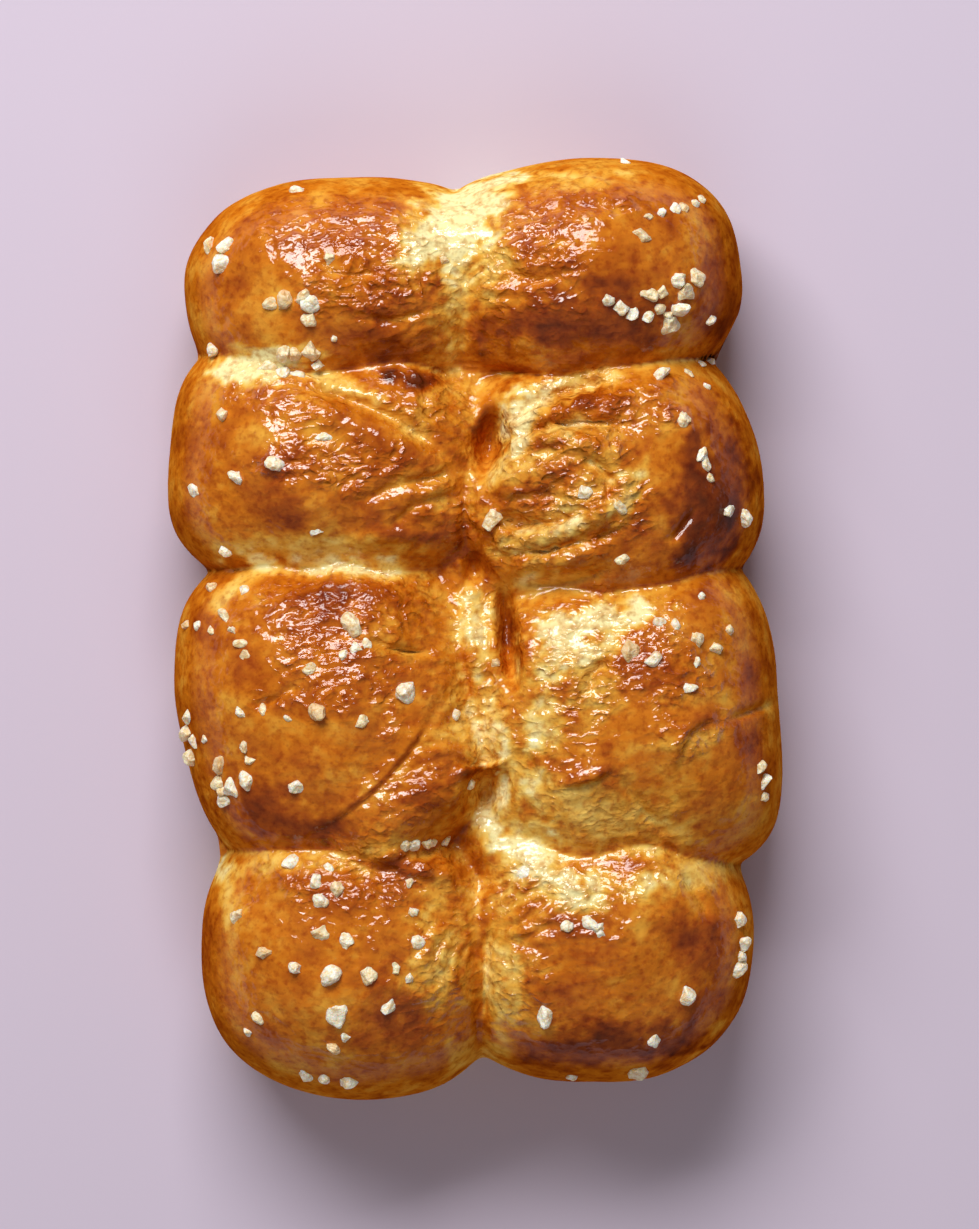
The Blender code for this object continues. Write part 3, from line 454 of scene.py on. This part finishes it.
def noise(points, size, seed):
    """Smooth noise, about -1 to 1, at points (n by 3), with bumps about size across."""
    slopes = noise_slopes(seed)
    scaled = points / size
    cell = np.floor(scaled).astype(int)
    inside = scaled - cell
    share = inside**3 * (inside * (inside * 6 - 15) + 10)
    total = np.zeros(len(points))
    for corner in product((0, 1), repeat=3):
        slope = slopes[tuple(((cell + corner) % NOISE_CELLS).T)]
        weight = np.prod(np.where(corner, share, 1 - share), axis=1)
        total += weight * np.sum(slope * (inside - corner), axis=1)
    return 1.6 * total


def smooth_step(value, low, high):
    """0 below low, 1 above high, and a smooth rise between."""
    t = np.clip((value - low) / (high - low), 0, 1)
    return t * t * (3 - 2 * t)


def in_turned_frame(x, y, shape):
    """x and y measured along and across the long axis of a ball, hollow or patch."""
    c, s = math.cos(math.radians(shape.turn)), math.sin(math.radians(shape.turn))
    dx, dy = x - shape.x, y - shape.y
    return c * dx + s * dy, c * dy - s * dx


def share_out(ball, x, y):
    """How far out on a ball's plan a point is: 0 at its centre, 1 on its outline."""
    along, across = in_turned_frame(x, y, ball)
    u = np.abs(along) / ball.half_length
    v = np.abs(across) / ball.half_width
    return (u**ball.square + v**ball.square) ** (1 / ball.square)


def gathers(ball, x, y):
    """Wrinkles that fan out from the point towards which the ball's skin is gathered."""
    dx, dy = x - ball.gather_x, y - ball.gather_y
    away = np.hypot(dx, dy)
    facing = np.arctan2(ball.y - ball.gather_y, ball.x - ball.gather_x)
    angle = (np.arctan2(dy, dx) - facing + math.pi) % (2 * math.pi) - math.pi
    bend = 1.3 * noise(np.stack([x, y, np.full_like(x, ball.top)], axis=1), 0.016, 3)
    which = np.full_like(x, 10 * ball.y)
    fan = np.stack([angle * GATHERS_PER_RADIAN + bend, away / GATHER_LENGTH, which], axis=1)
    folds = np.abs(noise(fan, 1.0, 5)) * 2 - 0.6
    fade = np.exp(-((away / GATHER_REACH) ** 2)) * smooth_step(away, 0.002, 0.012)
    return GATHER_DEPTH * folds * fade


def dome(ball, x, y, power=DOME_POWER):
    """Height of one ball over the plan, at the waist outside its outline."""
    out = np.minimum(share_out(ball, x, y), 1)
    full = (1 - out**power) ** (1 / power)
    relief = gathers(ball, x, y) * smooth_step(full, 0.1, 0.5)
    return WAIST_HEIGHT + (ball.top - WAIST_HEIGHT) * full + relief


def smooth_highest(a, b, rounding):
    """The higher of two surfaces, filled out a little where they cross."""
    near = np.clip(0.5 + (a - b) / (2 * rounding), 0, 1)
    return b + (a - b) * near + rounding * near * (1 - near)


def bent_line(fold, count=16):
    """Points along a fold's line, a quadratic curve that passes through its middle point."""
    t = np.linspace(0, 1, count)[:, None]
    start, middle, end = (np.array(p) for p in (fold.start, fold.middle, fold.end))
    control = 2 * middle - (start + end) / 2
    return (1 - t) ** 2 * start + 2 * t * (1 - t) * control + t**2 * end


def fold_relief(fold, x, y):
    """What a fold adds to the height."""
    line = bent_line(fold)
    best = np.full_like(x, np.inf)
    offset = np.zeros_like(x)
    along = np.zeros_like(x)
    for i, (a, b) in enumerate(zip(line[:-1], line[1:])):
        step = b - a
        length = np.hypot(*step)
        t = np.clip(((x - a[0]) * step[0] + (y - a[1]) * step[1]) / length**2, 0, 1)
        away = np.hypot(x - a[0] - t * step[0], y - a[1] - t * step[1])
        side = np.sign(step[0] * (y - a[1]) - step[1] * (x - a[0]))
        nearer = away < best
        best = np.where(nearer, away, best)
        offset = np.where(nearer, side * away, offset)
        along = np.where(nearer, (i + t) / (len(line) - 1), along)
    taper = smooth_step(along, 0, 0.3) * smooth_step(1 - along, 0, 0.3)
    if fold.kind == "ridge":
        return fold.height * taper * np.exp(-((best / fold.width) ** 2))
    if fold.kind == "groove":
        return -fold.height * taper * np.exp(-((best / fold.width) ** 1.5))
    raised = smooth_step(-offset, -LIP_STEP, LIP_STEP)
    skin = raised * np.exp(-((best / fold.width) ** 2))
    shade = 0.3 * (1 - raised) * np.exp(-((best / LIP_SHADE) ** 2))
    return fold.height * taper * (skin - shade)


def fold_total(x, y):
    """What all folds together add to the height."""
    total = np.zeros_like(x)
    for fold in FOLDS:
        total += fold_relief(fold, x, y)
    return total


def hollow_depth(hollow, x, y):
    """How far a hollow sinks into the loaf, deepest in its middle."""
    along, across = in_turned_frame(x, y, hollow)
    out = (along / hollow.half_length) ** 2 + (across / hollow.half_width) ** 2
    return hollow.depth * np.exp(-(out**1.5))


def wander(x, y):
    """The plan's points moved a little, so that creases aren't even curves."""
    outward = np.maximum(np.abs(x) / LOAF_WIDTH, np.abs(y) / LOAF_LENGTH) * 2
    depth = WANDER_DEPTH * (1 - 0.8 * smooth_step(outward, 0.5, 0.9))
    spots = np.stack([x, y, np.zeros_like(x)], axis=1)
    return x + depth * noise(spots, WANDER_SIZE, 7), y + depth * noise(spots, WANDER_SIZE, 8)


def crust_height(x, y):
    """Height of the crust over points of the plan that are inside the loaf's outline."""
    near_x, near_y = wander(x, y)
    height = dome(BODY, near_x, near_y, BODY_POWER)
    for ball in BALLS:
        height = smooth_highest(height, dome(ball, near_x, near_y), CREASE_ROUNDING)
    for ball in SWELLINGS:
        height = smooth_highest(height, dome(ball, near_x, near_y), SWELLING_ROUNDING)
    relief = SWELL_DEPTH * noise(np.stack([x, y, np.zeros_like(x)], axis=1), SWELL_SIZE, 21)
    relief += fold_total(x, y)
    for hollow in HOLLOWS:
        relief -= hollow_depth(hollow, x, y)
    return height + relief * smooth_step(height, WAIST_HEIGHT, WAIST_HEIGHT + RELIEF_RISE)


def outline_table():
    """The loaf's outline at its waist, as distances from the middle for even angles."""
    angles = np.linspace(-math.pi, math.pi, 1441)
    reach = np.arange(0.06, 0.145, 0.0002)
    x = np.outer(np.cos(angles), reach)
    y = np.outer(np.sin(angles), reach)
    near_x, near_y = wander(x.ravel(), y.ravel())
    out = np.min([share_out(ball, near_x, near_y) for ball in (BODY, *BALLS)], axis=0)
    inside = out.reshape(x.shape) < 1
    last = reach[len(reach) - 1 - np.argmax(inside[:, ::-1], axis=1)]
    ring = np.concatenate([last[-5:-1], last, last[1:5]])
    return angles, np.convolve(ring, np.ones(9) / 9, mode="valid")


def mesh_steps(even, down):
    """Places from -1 to 1 across the mesh: even steps over the top, then steps down each side."""
    top = np.linspace(-WAIST_RING, WAIST_RING, even + 1)
    side = WAIST_RING + (1 - WAIST_RING) * np.arange(1, down + 1) / down
    return np.concatenate([-side[::-1], top, side])


def plan_share(ring):
    """How far out in plan a ring of the mesh lies: even steps, then closing up at the waist."""
    turn = EVEN_SHARE / (EVEN_SHARE + (1 - EVEN_SHARE) * math.pi / 2)
    even = ring * EVEN_SHARE / turn
    closing = np.sin(math.pi / 2 * np.clip((ring - turn) / (1 - turn), 0, 1))
    return np.where(ring < turn, even, EVEN_SHARE + (1 - EVEN_SHARE) * closing)


def loaf_surface(across, along, down):
    """The crust as a grid of points, from the middle of the top out to the edge of the base."""
    u, v = np.meshgrid(mesh_steps(across, down), mesh_steps(along, down), indexing="ij")
    ring = np.maximum(np.maximum(np.abs(u), np.abs(v)), 1e-9)
    to_x, to_y = u / ring * LOAF_WIDTH / 2, v / ring * LOAF_LENGTH / 2
    box_reach = np.hypot(to_x, to_y)
    angles, reaches = outline_table()
    reach = np.interp(np.arctan2(to_y, to_x), angles, reaches)
    share = plan_share(np.minimum(ring / WAIST_RING, 1))
    scale = share * (1 + (reach / box_reach - 1) * share**3)
    below = np.clip((ring - WAIST_RING) / (1 - WAIST_RING), 0, 1) * math.pi / 2
    x = to_x * scale * (1 - BASE_INSET / (LOAF_WIDTH / 2) * (1 - np.cos(below)))
    y = to_y * scale * (1 - BASE_INSET / (LOAF_LENGTH / 2) * (1 - np.cos(below)))
    top = crust_height(x.ravel(), y.ravel()).reshape(x.shape)
    cap = (1 - np.minimum(ring / WAIST_RING, 1) ** RIM_POWER) ** (1 / DOME_POWER)
    top = WAIST_HEIGHT + np.minimum(top - WAIST_HEIGHT, RIM_HEIGHT * cap)
    z = np.where(below > 0, WAIST_HEIGHT * (1 - np.sin(below)), top)
    return np.stack([x, y, z], axis=-1)


def grid_faces(rows, columns):
    """Quads between neighbouring points of a grid, facing up."""
    index = np.arange(rows * columns).reshape(rows, columns)
    corners = (index[:-1, :-1], index[1:, :-1], index[1:, 1:], index[:-1, 1:])
    return np.stack([c.ravel() for c in corners], axis=1).tolist()


def grid_rim(rows, columns):
    """The grid's edge points in order, so that the base can close on them."""
    index = np.arange(rows * columns).reshape(rows, columns)
    sides = (index[0, :-1], index[:-1, -1], index[-1, :0:-1], index[:0:-1, 0])
    return np.concatenate(sides).tolist()


def grain_places():
    """Where the sugar grains lie and how large they are: x, y, radius."""
    draw = np.random.RandomState(SUGAR_SEED)
    places = []
    for trail in TRAILS:
        start, end = np.array(trail.start), np.array(trail.end)
        for i in range(trail.grains):
            along = start + (end - start) * i / max(trail.grains - 1, 1)
            x, y = along + draw.uniform(-1, 1, 2) * GRAIN_SCATTER * (trail.grains > 1)
            places.append((x, y, trail.size * (1 + SIZE_SPREAD * draw.uniform(-1, 1))))
    return places


def crease_gap(x, y):
    """How far the highest ball stands above the next one: nothing in a crease."""
    near_x, near_y = wander(x, y)
    tops = []
    for ball in (*BALLS, *SWELLINGS):
        out = np.minimum(share_out(ball, near_x, near_y), 1)
        full = (1 - out**DOME_POWER) ** (1 / DOME_POWER)
        tops.append(WAIST_HEIGHT + (ball.top - WAIST_HEIGHT) * full)
    tops = np.sort(np.stack(tops), axis=0)
    return tops[-1] - tops[-2]


def surface_normals(grid):
    """Unit normals of a grid of points, pointing out of the loaf."""
    slope_u, slope_v = np.gradient(grid, axis=(0, 1))
    normal = np.cross(slope_u, slope_v)
    return normal / np.maximum(np.linalg.norm(normal, axis=-1, keepdims=True), 1e-12)


def near_seam(x, y, reach):
    """1 at the balls' gathering points, fading to 0 over reach."""
    best = np.zeros_like(x)
    for ball in BALLS:
        away = np.hypot(x - ball.gather_x, y - ball.gather_y)
        best = np.maximum(best, np.exp(-((away / reach) ** 2)))
    return best


def inside_patch(patch, x, y, edge):
    """1 in the middle of a patch, fading to 0 at its ragged edge."""
    along, across = in_turned_frame(x, y, patch)
    out = np.hypot(along / patch.half_length, across / patch.half_width)
    return 1 - smooth_step(out + edge, 0.4, 1.3)


def wrinkled(points):
    """How wrinkled the skin is: 0 where it is smooth, up to about 1."""
    x, y = points[:, 0], points[:, 1]
    edge = 0.5 * noise(points, 0.008, 35)
    most = SMOOTH_SKIN + SEAM_WRINKLES * near_seam(x, y, SEAM_REACH)
    for patch in WRINKLED:
        most = np.maximum(most, patch.amount * inside_patch(patch, x, y, edge))
    return most * smooth_step(points[:, 2], WRINKLES_FROM, WRINKLES_FULL)


def egg_wash(points, normals):
    """How much egg wash shines on the crust: most on the tops, little down the steep sides."""
    level = smooth_step(normals[:, 2], STEEP, LEVEL)
    return level * np.clip(0.85 + 0.4 * noise(points, 0.012, 61), 0, 1)


def crinkle(points, amount):
    """Wrinkles of the skin: sharp little ridges that run about across the loaf."""
    x, y, z = points.T
    bend_x, bend_y = 0.006 * noise(points, 0.013, 31), 0.005 * noise(points, 0.013, 36)
    stretched = np.stack([x * CRINKLE_STRETCH + bend_x, y + bend_y, z], axis=1)
    ridges = 1 - 2.4 * np.abs(noise(stretched, CRINKLE_SIZE, 32))
    fine = 1 - 2.4 * np.abs(noise(stretched + 0.1, CRINKLE_SIZE * 0.5, 33))
    dents = noise(points, 0.009, 34)
    return CRINKLE_DEPTH * amount * (ridges + 0.45 * fine + 0.6 * dents - 0.5)


def bake_and_shade_of(points, normals, relief):
    """How dark the crust is at each point: its bake, with painted shade added in creases, hollows
    and on some lower and right sides, and in part painted light where creases face the window.
    """
    x, y, z = points.T
    bake = np.full(len(points), DOME_BAKE)
    for share, size, seed in MOTTLES:
        bake += BAKE_MOTTLE * share * noise(points, size, seed)
    crease = np.exp(-((crease_gap(x, y) / CREASE_REACH) ** 1.2)) * (z > WAIST_HEIGHT)
    crease *= 0.8 + 0.6 * noise(points, 0.007, 46)
    upward = smooth_step(normals[:, 1], -0.3, 0.4)  # 1 where it faces the photo's top
    # Paler on the side of each crease that faces the window: partly pale stretched dough, partly
    # painted light. Darker on the side that faces away: painted shade.
    bake += crease * (CREASE_PAINTED_SHADE * (1 - upward) - CREASE_PALE_AND_PAINTED_LIGHT * upward)
    edge = 0.5 * noise(points, 0.006, 43) + 0.3 * noise(points, 0.0024, 47)
    for patch in BAKE_AND_PAINTED_SHADE:
        bake += patch.amount * inside_patch(patch, x, y, edge)
    bake += np.clip(FOLD_BAKE * relief, -0.22, 0.18)
    streaks = noise(np.stack([x * 0.35, y, z], axis=1), STREAK_SIZE, 44)
    bake += STREAK_BAKE * near_seam(x, y, STREAK_REACH) * streaks
    foot = 1 - smooth_step(z, FOOT_FROM, FOOT_TO)
    return np.clip(bake - FOOT_PALE * foot, 0, 1)


def bake_and_shade_colours(bake):
    """The crust's colour for each value of bake and painted shade."""
    places = [shade.bake for shade in SHADES]
    channels = [[shade.colour[i] for shade in SHADES] for i in range(3)]
    rgb = [np.interp(bake, places, channel) for channel in channels]
    return np.stack([*rgb, np.ones_like(bake)], axis=1)


def new_piece(name, points, faces, material):
    """A visible piece made of points and faces."""
    mesh = bpy.data.meshes.new(name)
    mesh.from_pydata(points.tolist(), [], faces)
    mesh.update()
    piece = bpy.data.objects.new(name, mesh)
    bpy.context.scene.collection.objects.link(piece)
    mesh.materials.append(material)
    return piece


def set_colours(piece, name, colours):
    """Paints one colour on each point of a piece, for a material to read under the name."""
    layer = piece.data.color_attributes.new(name, "FLOAT_COLOR", "POINT")
    layer.data.foreach_set("color", colours.astype(np.float32).ravel())


def new_material(name, roughness):
    """A material, its node tree, its shader and a texture coordinate, ready for more nodes."""
    material = bpy.data.materials.new(name)
    material.use_nodes = True
    tree = material.node_tree
    shader = tree.nodes["Principled BSDF"]
    shader.inputs["Roughness"].default_value = roughness
    place = tree.nodes.new("ShaderNodeTexCoord").outputs["Object"]
    return material, tree, shader, place


def painted(tree, name):
    """The colours painted on a piece's points under a name."""
    node = tree.nodes.new("ShaderNodeVertexColor")
    node.layer_name = name
    return node.outputs["Color"]


def noise_node(tree, place, size, detail):
    """Procedural noise with bumps about size metres across."""
    node = tree.nodes.new("ShaderNodeTexNoise")
    node.inputs["Scale"].default_value = 1 / size
    node.inputs["Detail"].default_value = detail
    tree.links.new(place, node.inputs["Vector"])
    return node.outputs["Fac"]


def ridge_node(tree, place):
    """Procedural noise with sharp crests, longer along X."""
    stretched = tree.nodes.new("ShaderNodeMapping")
    stretched.inputs["Scale"].default_value = (RIDGE_STRETCH, 1, 1)
    tree.links.new(place, stretched.inputs["Vector"])
    node = tree.nodes.new("ShaderNodeTexNoise")
    node.noise_type = "RIDGED_MULTIFRACTAL"
    node.inputs["Scale"].default_value = 1 / RIDGE_SIZE
    node.inputs["Detail"].default_value = 2.5
    node.inputs["Offset"].default_value = 1
    tree.links.new(stretched.outputs["Vector"], node.inputs["Vector"])
    return node.outputs["Fac"]


def spot_node(tree, place):
    """Distance to the nearest of many scattered spots, in shares of their spacing."""
    node = tree.nodes.new("ShaderNodeTexVoronoi")
    node.inputs["Scale"].default_value = FRECKLES_PER_METRE
    tree.links.new(place, node.inputs["Vector"])
    return node.outputs["Distance"]


def ranged(tree, value, low, high, from_low=0.0, from_high=1.0):
    """A value moved from one range to another."""
    node = tree.nodes.new("ShaderNodeMapRange")
    node.inputs["From Min"].default_value = from_low
    node.inputs["From Max"].default_value = from_high
    node.inputs["To Min"].default_value = low
    node.inputs["To Max"].default_value = high
    tree.links.new(value, node.inputs["Value"])
    return node.outputs["Result"]


def combined(tree, operation, a, b):
    """Two values added or multiplied."""
    node = tree.nodes.new("ShaderNodeMath")
    node.operation = operation
    tree.links.new(a, node.inputs[0])
    tree.links.new(b, node.inputs[1])
    return node.outputs["Value"]


def tinted(tree, colour, tint, amount):
    """A colour multiplied by a tint, by an amount that may vary."""
    node = tree.nodes.new("ShaderNodeMix")
    node.data_type = "RGBA"
    node.blend_type = "MULTIPLY"
    tree.links.new(amount, node.inputs["Factor"])
    tree.links.new(colour, node.inputs["A"])
    node.inputs["B"].default_value = (*tint, 1)
    return node.outputs["Result"]


def bumped(tree, height, distance, below=None):
    """A bump of the given height in metres, over another bump if there is one."""
    node = tree.nodes.new("ShaderNodeBump")
    node.inputs["Distance"].default_value = distance
    tree.links.new(height, node.inputs["Height"])
    if below:
        tree.links.new(below, node.inputs["Normal"])
    return node.outputs["Normal"]


def crust_material():
    """Egg-washed crust: mottled, freckled where it blistered, wrinkled and glossy."""
    material, tree, shader, place = new_material("crust", 0.34)
    shader.inputs["Specular IOR Level"].default_value = 0.0
    shader.inputs["Coat Roughness"].default_value = GLAZE_ROUGHNESS
    shader.inputs["Coat IOR"].default_value = GLAZE_IOR
    skin = tree.nodes.new("ShaderNodeSeparateColor")
    tree.links.new(painted(tree, "skin"), skin.inputs["Color"])
    amount, washed = skin.outputs["Red"], skin.outputs["Green"]
    raised = combined(tree, "MULTIPLY", ridge_node(tree, place), amount)
    mottle = noise_node(tree, place, MOTTLE_SIZE, 5)

    browner = ranged(tree, mottle, 0, 1, 0.48, 0.70)
    crests = ranged(tree, raised, 0, 0.70, 0.35, 0.85)
    freckles = ranged(tree, spot_node(tree, place), 0.50, 0, 0.0, 0.32)
    colour = tinted(tree, painted(tree, "crust"), MOTTLE_TINT, browner)
    colour = tinted(tree, colour, CREST_TINT, crests)
    colour = tinted(tree, colour, FRECKLE_TINT, freckles)
    tree.links.new(colour, shader.inputs["Base Color"])

    uneven = ranged(tree, mottle, -0.02, 0.14, 0.3, 0.7)
    rough = ranged(tree, washed, 0.62, 0.24)
    tree.links.new(combined(tree, "ADD", uneven, rough), shader.inputs["Roughness"])
    tree.links.new(washed, shader.inputs["Coat Weight"])

    blisters = noise_node(tree, place, BLISTER_SIZE, 1.5)
    blistered = combined(tree, "MULTIPLY", blisters, ranged(tree, amount, 0.18, 1.0))
    relief = bumped(tree, raised, RIDGE_HEIGHT)
    relief = bumped(tree, blistered, BLISTER_HEIGHT, relief)
    tree.links.new(relief, shader.inputs["Coat Normal"])
    pores = noise_node(tree, place, PORE_SIZE, 2)
    tree.links.new(bumped(tree, pores, PORE_HEIGHT, relief), shader.inputs["Normal"])
    return material


def underside_material():
    """The flat base: baked dry and even, with small pits."""
    material, tree, shader, place = new_material("underside", 0.62)
    blend = tree.nodes.new("ShaderNodeMix")
    blend.data_type = "RGBA"
    for socket, colour in zip("AB", UNDERSIDE_COLOURS):
        blend.inputs[socket].default_value = (*colour, 1)
    mottle = noise_node(tree, place, 0.012, 5)
    tree.links.new(ranged(tree, mottle, 0, 1, 0.4, 0.7), blend.inputs["Factor"])
    tree.links.new(blend.outputs["Result"], shader.inputs["Base Color"])
    pits = noise_node(tree, place, 0.0015, 4)
    tree.links.new(bumped(tree, pits, 0.0003), shader.inputs["Normal"])
    return material


def sugar_material():
    """Pearl sugar: white to cream, a little glossy."""
    material, tree, shader, place = new_material("sugar", 0.36)
    shader.inputs["Subsurface Weight"].default_value = 0.5
    shader.inputs["Subsurface Radius"].default_value = (1, 0.7, 0.4)
    shader.inputs["Subsurface Scale"].default_value = SUGAR_GLOW_DEPTH
    shaded = ranged(tree, noise_node(tree, place, 0.0014, 3), 0, 1, 0.44, 0.64)
    colour = tinted(tree, painted(tree, "sugar"), SUGAR_SHADE, shaded)
    tree.links.new(colour, shader.inputs["Base Color"])
    grit = noise_node(tree, place, 0.0011, 2)
    tree.links.new(bumped(tree, grit, 0.00050), shader.inputs["Normal"])
    return material


def make_crust():
    """The loaf's surface, finely wrinkled and coloured, closed by its flat base."""
    grid = loaf_surface(FINE_ACROSS, FINE_ALONG, FINE_DOWN)
    rows, columns = grid.shape[:2]
    points = grid.reshape(-1, 3)
    normals = surface_normals(grid).reshape(-1, 3)
    amount = wrinkled(points)
    relief = crinkle(points, amount)
    faces = grid_faces(rows, columns) + [grid_rim(rows, columns)]
    wrinkles = np.clip(points + normals * relief[:, None], *cad_box)
    crust = new_piece("crust", wrinkles, faces, crust_material())
    crust.data.materials.append(underside_material())
    crust.data.polygons[len(faces) - 1].material_index = 1
    smooth = np.ones(len(faces), dtype=bool)
    smooth[-1] = False
    crust.data.polygons.foreach_set("use_smooth", smooth)
    folds = fold_total(points[:, 0], points[:, 1]) + relief
    set_colours(crust, "crust", bake_and_shade_colours(bake_and_shade_of(points, normals, folds)))
    none, full = np.zeros_like(amount), np.ones_like(amount)
    skin = np.stack([amount, egg_wash(points, normals), none, full], axis=1)
    set_colours(crust, "skin", skin)
    return crust


def grain_shape(draw, sphere):
    """A sphere's points cut by flat faces, stretched and turned."""
    stretch = np.array([draw.uniform(low, high) for low, high in GRAIN_STRETCHES])
    turn = np.linalg.qr(draw.normal(size=(3, 3)))[0]
    lump = sphere.copy()
    for _ in range(SUGAR_CUTS):
        normal = draw.normal(size=3)
        normal /= np.linalg.norm(normal)
        over = np.maximum(lump @ normal - draw.uniform(*SUGAR_CUT_DEPTHS), 0)
        lump -= over[:, None] * normal
    coarse = noise(sphere + draw.uniform(0, 20, 3), 0.8, 51)
    fine = noise(sphere + draw.uniform(0, 20, 3), 0.3, 52)
    lump *= 1.16 + 0.20 * (coarse + 0.5 * fine)[:, None]
    return (lump * stretch) @ turn.T


def make_sugar():
    """Every grain of sugar, as one mesh."""
    ball = bmesh.new()
    bmesh.ops.create_icosphere(ball, subdivisions=SUGAR_LEVEL, radius=1)
    sphere = np.array([vertex.co for vertex in ball.verts])
    corners = np.array([[vertex.index for vertex in face.verts] for face in ball.faces])
    ball.free()
    x, y, sizes = np.array(grain_places()).T
    centres = np.stack([x, y, crust_height(x, y) - SUGAR_SINK], axis=1)
    points, faces, colours = [], [], []
    for index, (centre, size) in enumerate(zip(centres, sizes)):
        draw = np.random.RandomState(SUGAR_SEED + 1 + index)
        faces.append(corners + len(sphere) * index)
        points.append(np.clip(centre + grain_shape(draw, sphere) * size, *cad_box))
        tint = SUGAR_TINTS[draw.choice(len(SUGAR_TINTS), p=SUGAR_TINT_SHARES)]
        colours.append(np.tile((*tint, 1.0), (len(sphere), 1)))
    faces = np.concatenate(faces).tolist()
    sugar = new_piece("sugar", np.concatenate(points), faces, sugar_material())
    sugar.data.polygons.foreach_set("use_smooth", [False] * len(sugar.data.polygons))
    set_colours(sugar, "sugar", np.concatenate(colours))
    return sugar


def make_floor():
    """A plain pale floor."""
    bpy.ops.mesh.primitive_plane_add(size=FLOOR_SIZE)
    floor = bpy.context.object
    floor.name = "floor"
    material = bpy.data.materials.new("floor")
    material.use_nodes = True
    shader = material.node_tree.nodes["Principled BSDF"]
    shader.inputs["Base Color"].default_value = (*FLOOR_COLOUR, 1)
    shader.inputs["Roughness"].default_value = 0.9
    shader.inputs["Specular IOR Level"].default_value = 0.1
    floor.data.materials.append(material)


def add_light(spec):
    """A soft rectangular light that faces its target."""
    data = bpy.data.lights.new(spec.name, "AREA")
    data.shape = "RECTANGLE"
    data.size, data.size_y = spec.size
    data.energy = spec.power
    light = bpy.data.objects.new(spec.name, data)
    bpy.context.scene.collection.objects.link(light)
    light.location = spec.place
    away = Vector(spec.target) - Vector(spec.place)
    light.rotation_euler = away.to_track_quat("-Z", "Y").to_euler()
    return light


def light_scene():
    """The window, the fill and the room's own faint light."""
    add_light(WINDOW)
    add_light(FILL).visible_glossy = False  # so that the glaze doesn't mirror it
    world = bpy.data.worlds.new("world")
    world.use_nodes = True
    background = world.node_tree.nodes["Background"]
    background.inputs["Color"].default_value = (*ROOM_COLOUR, 1)
    background.inputs["Strength"].default_value = ROOM_STRENGTH
    bpy.context.scene.world = world
    bpy.context.scene.view_settings.view_transform = "Standard"


def place_camera():
    """Straight above, framed as the photo is."""
    data = bpy.data.cameras.new("camera")
    data.lens = data.sensor_width * (CAMERA_HEIGHT - WAIST_HEIGHT) / VIEW_LONG
    camera = bpy.data.objects.new("camera", data)
    bpy.context.scene.collection.objects.link(camera)
    camera.location = (*VIEW_MIDDLE, CAMERA_HEIGHT)
    bpy.context.scene.camera = camera


for piece in (make_crust(), make_sugar()):
    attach(piece, "root")
    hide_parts("brioche")
make_floor()
light_scene()
place_camera()
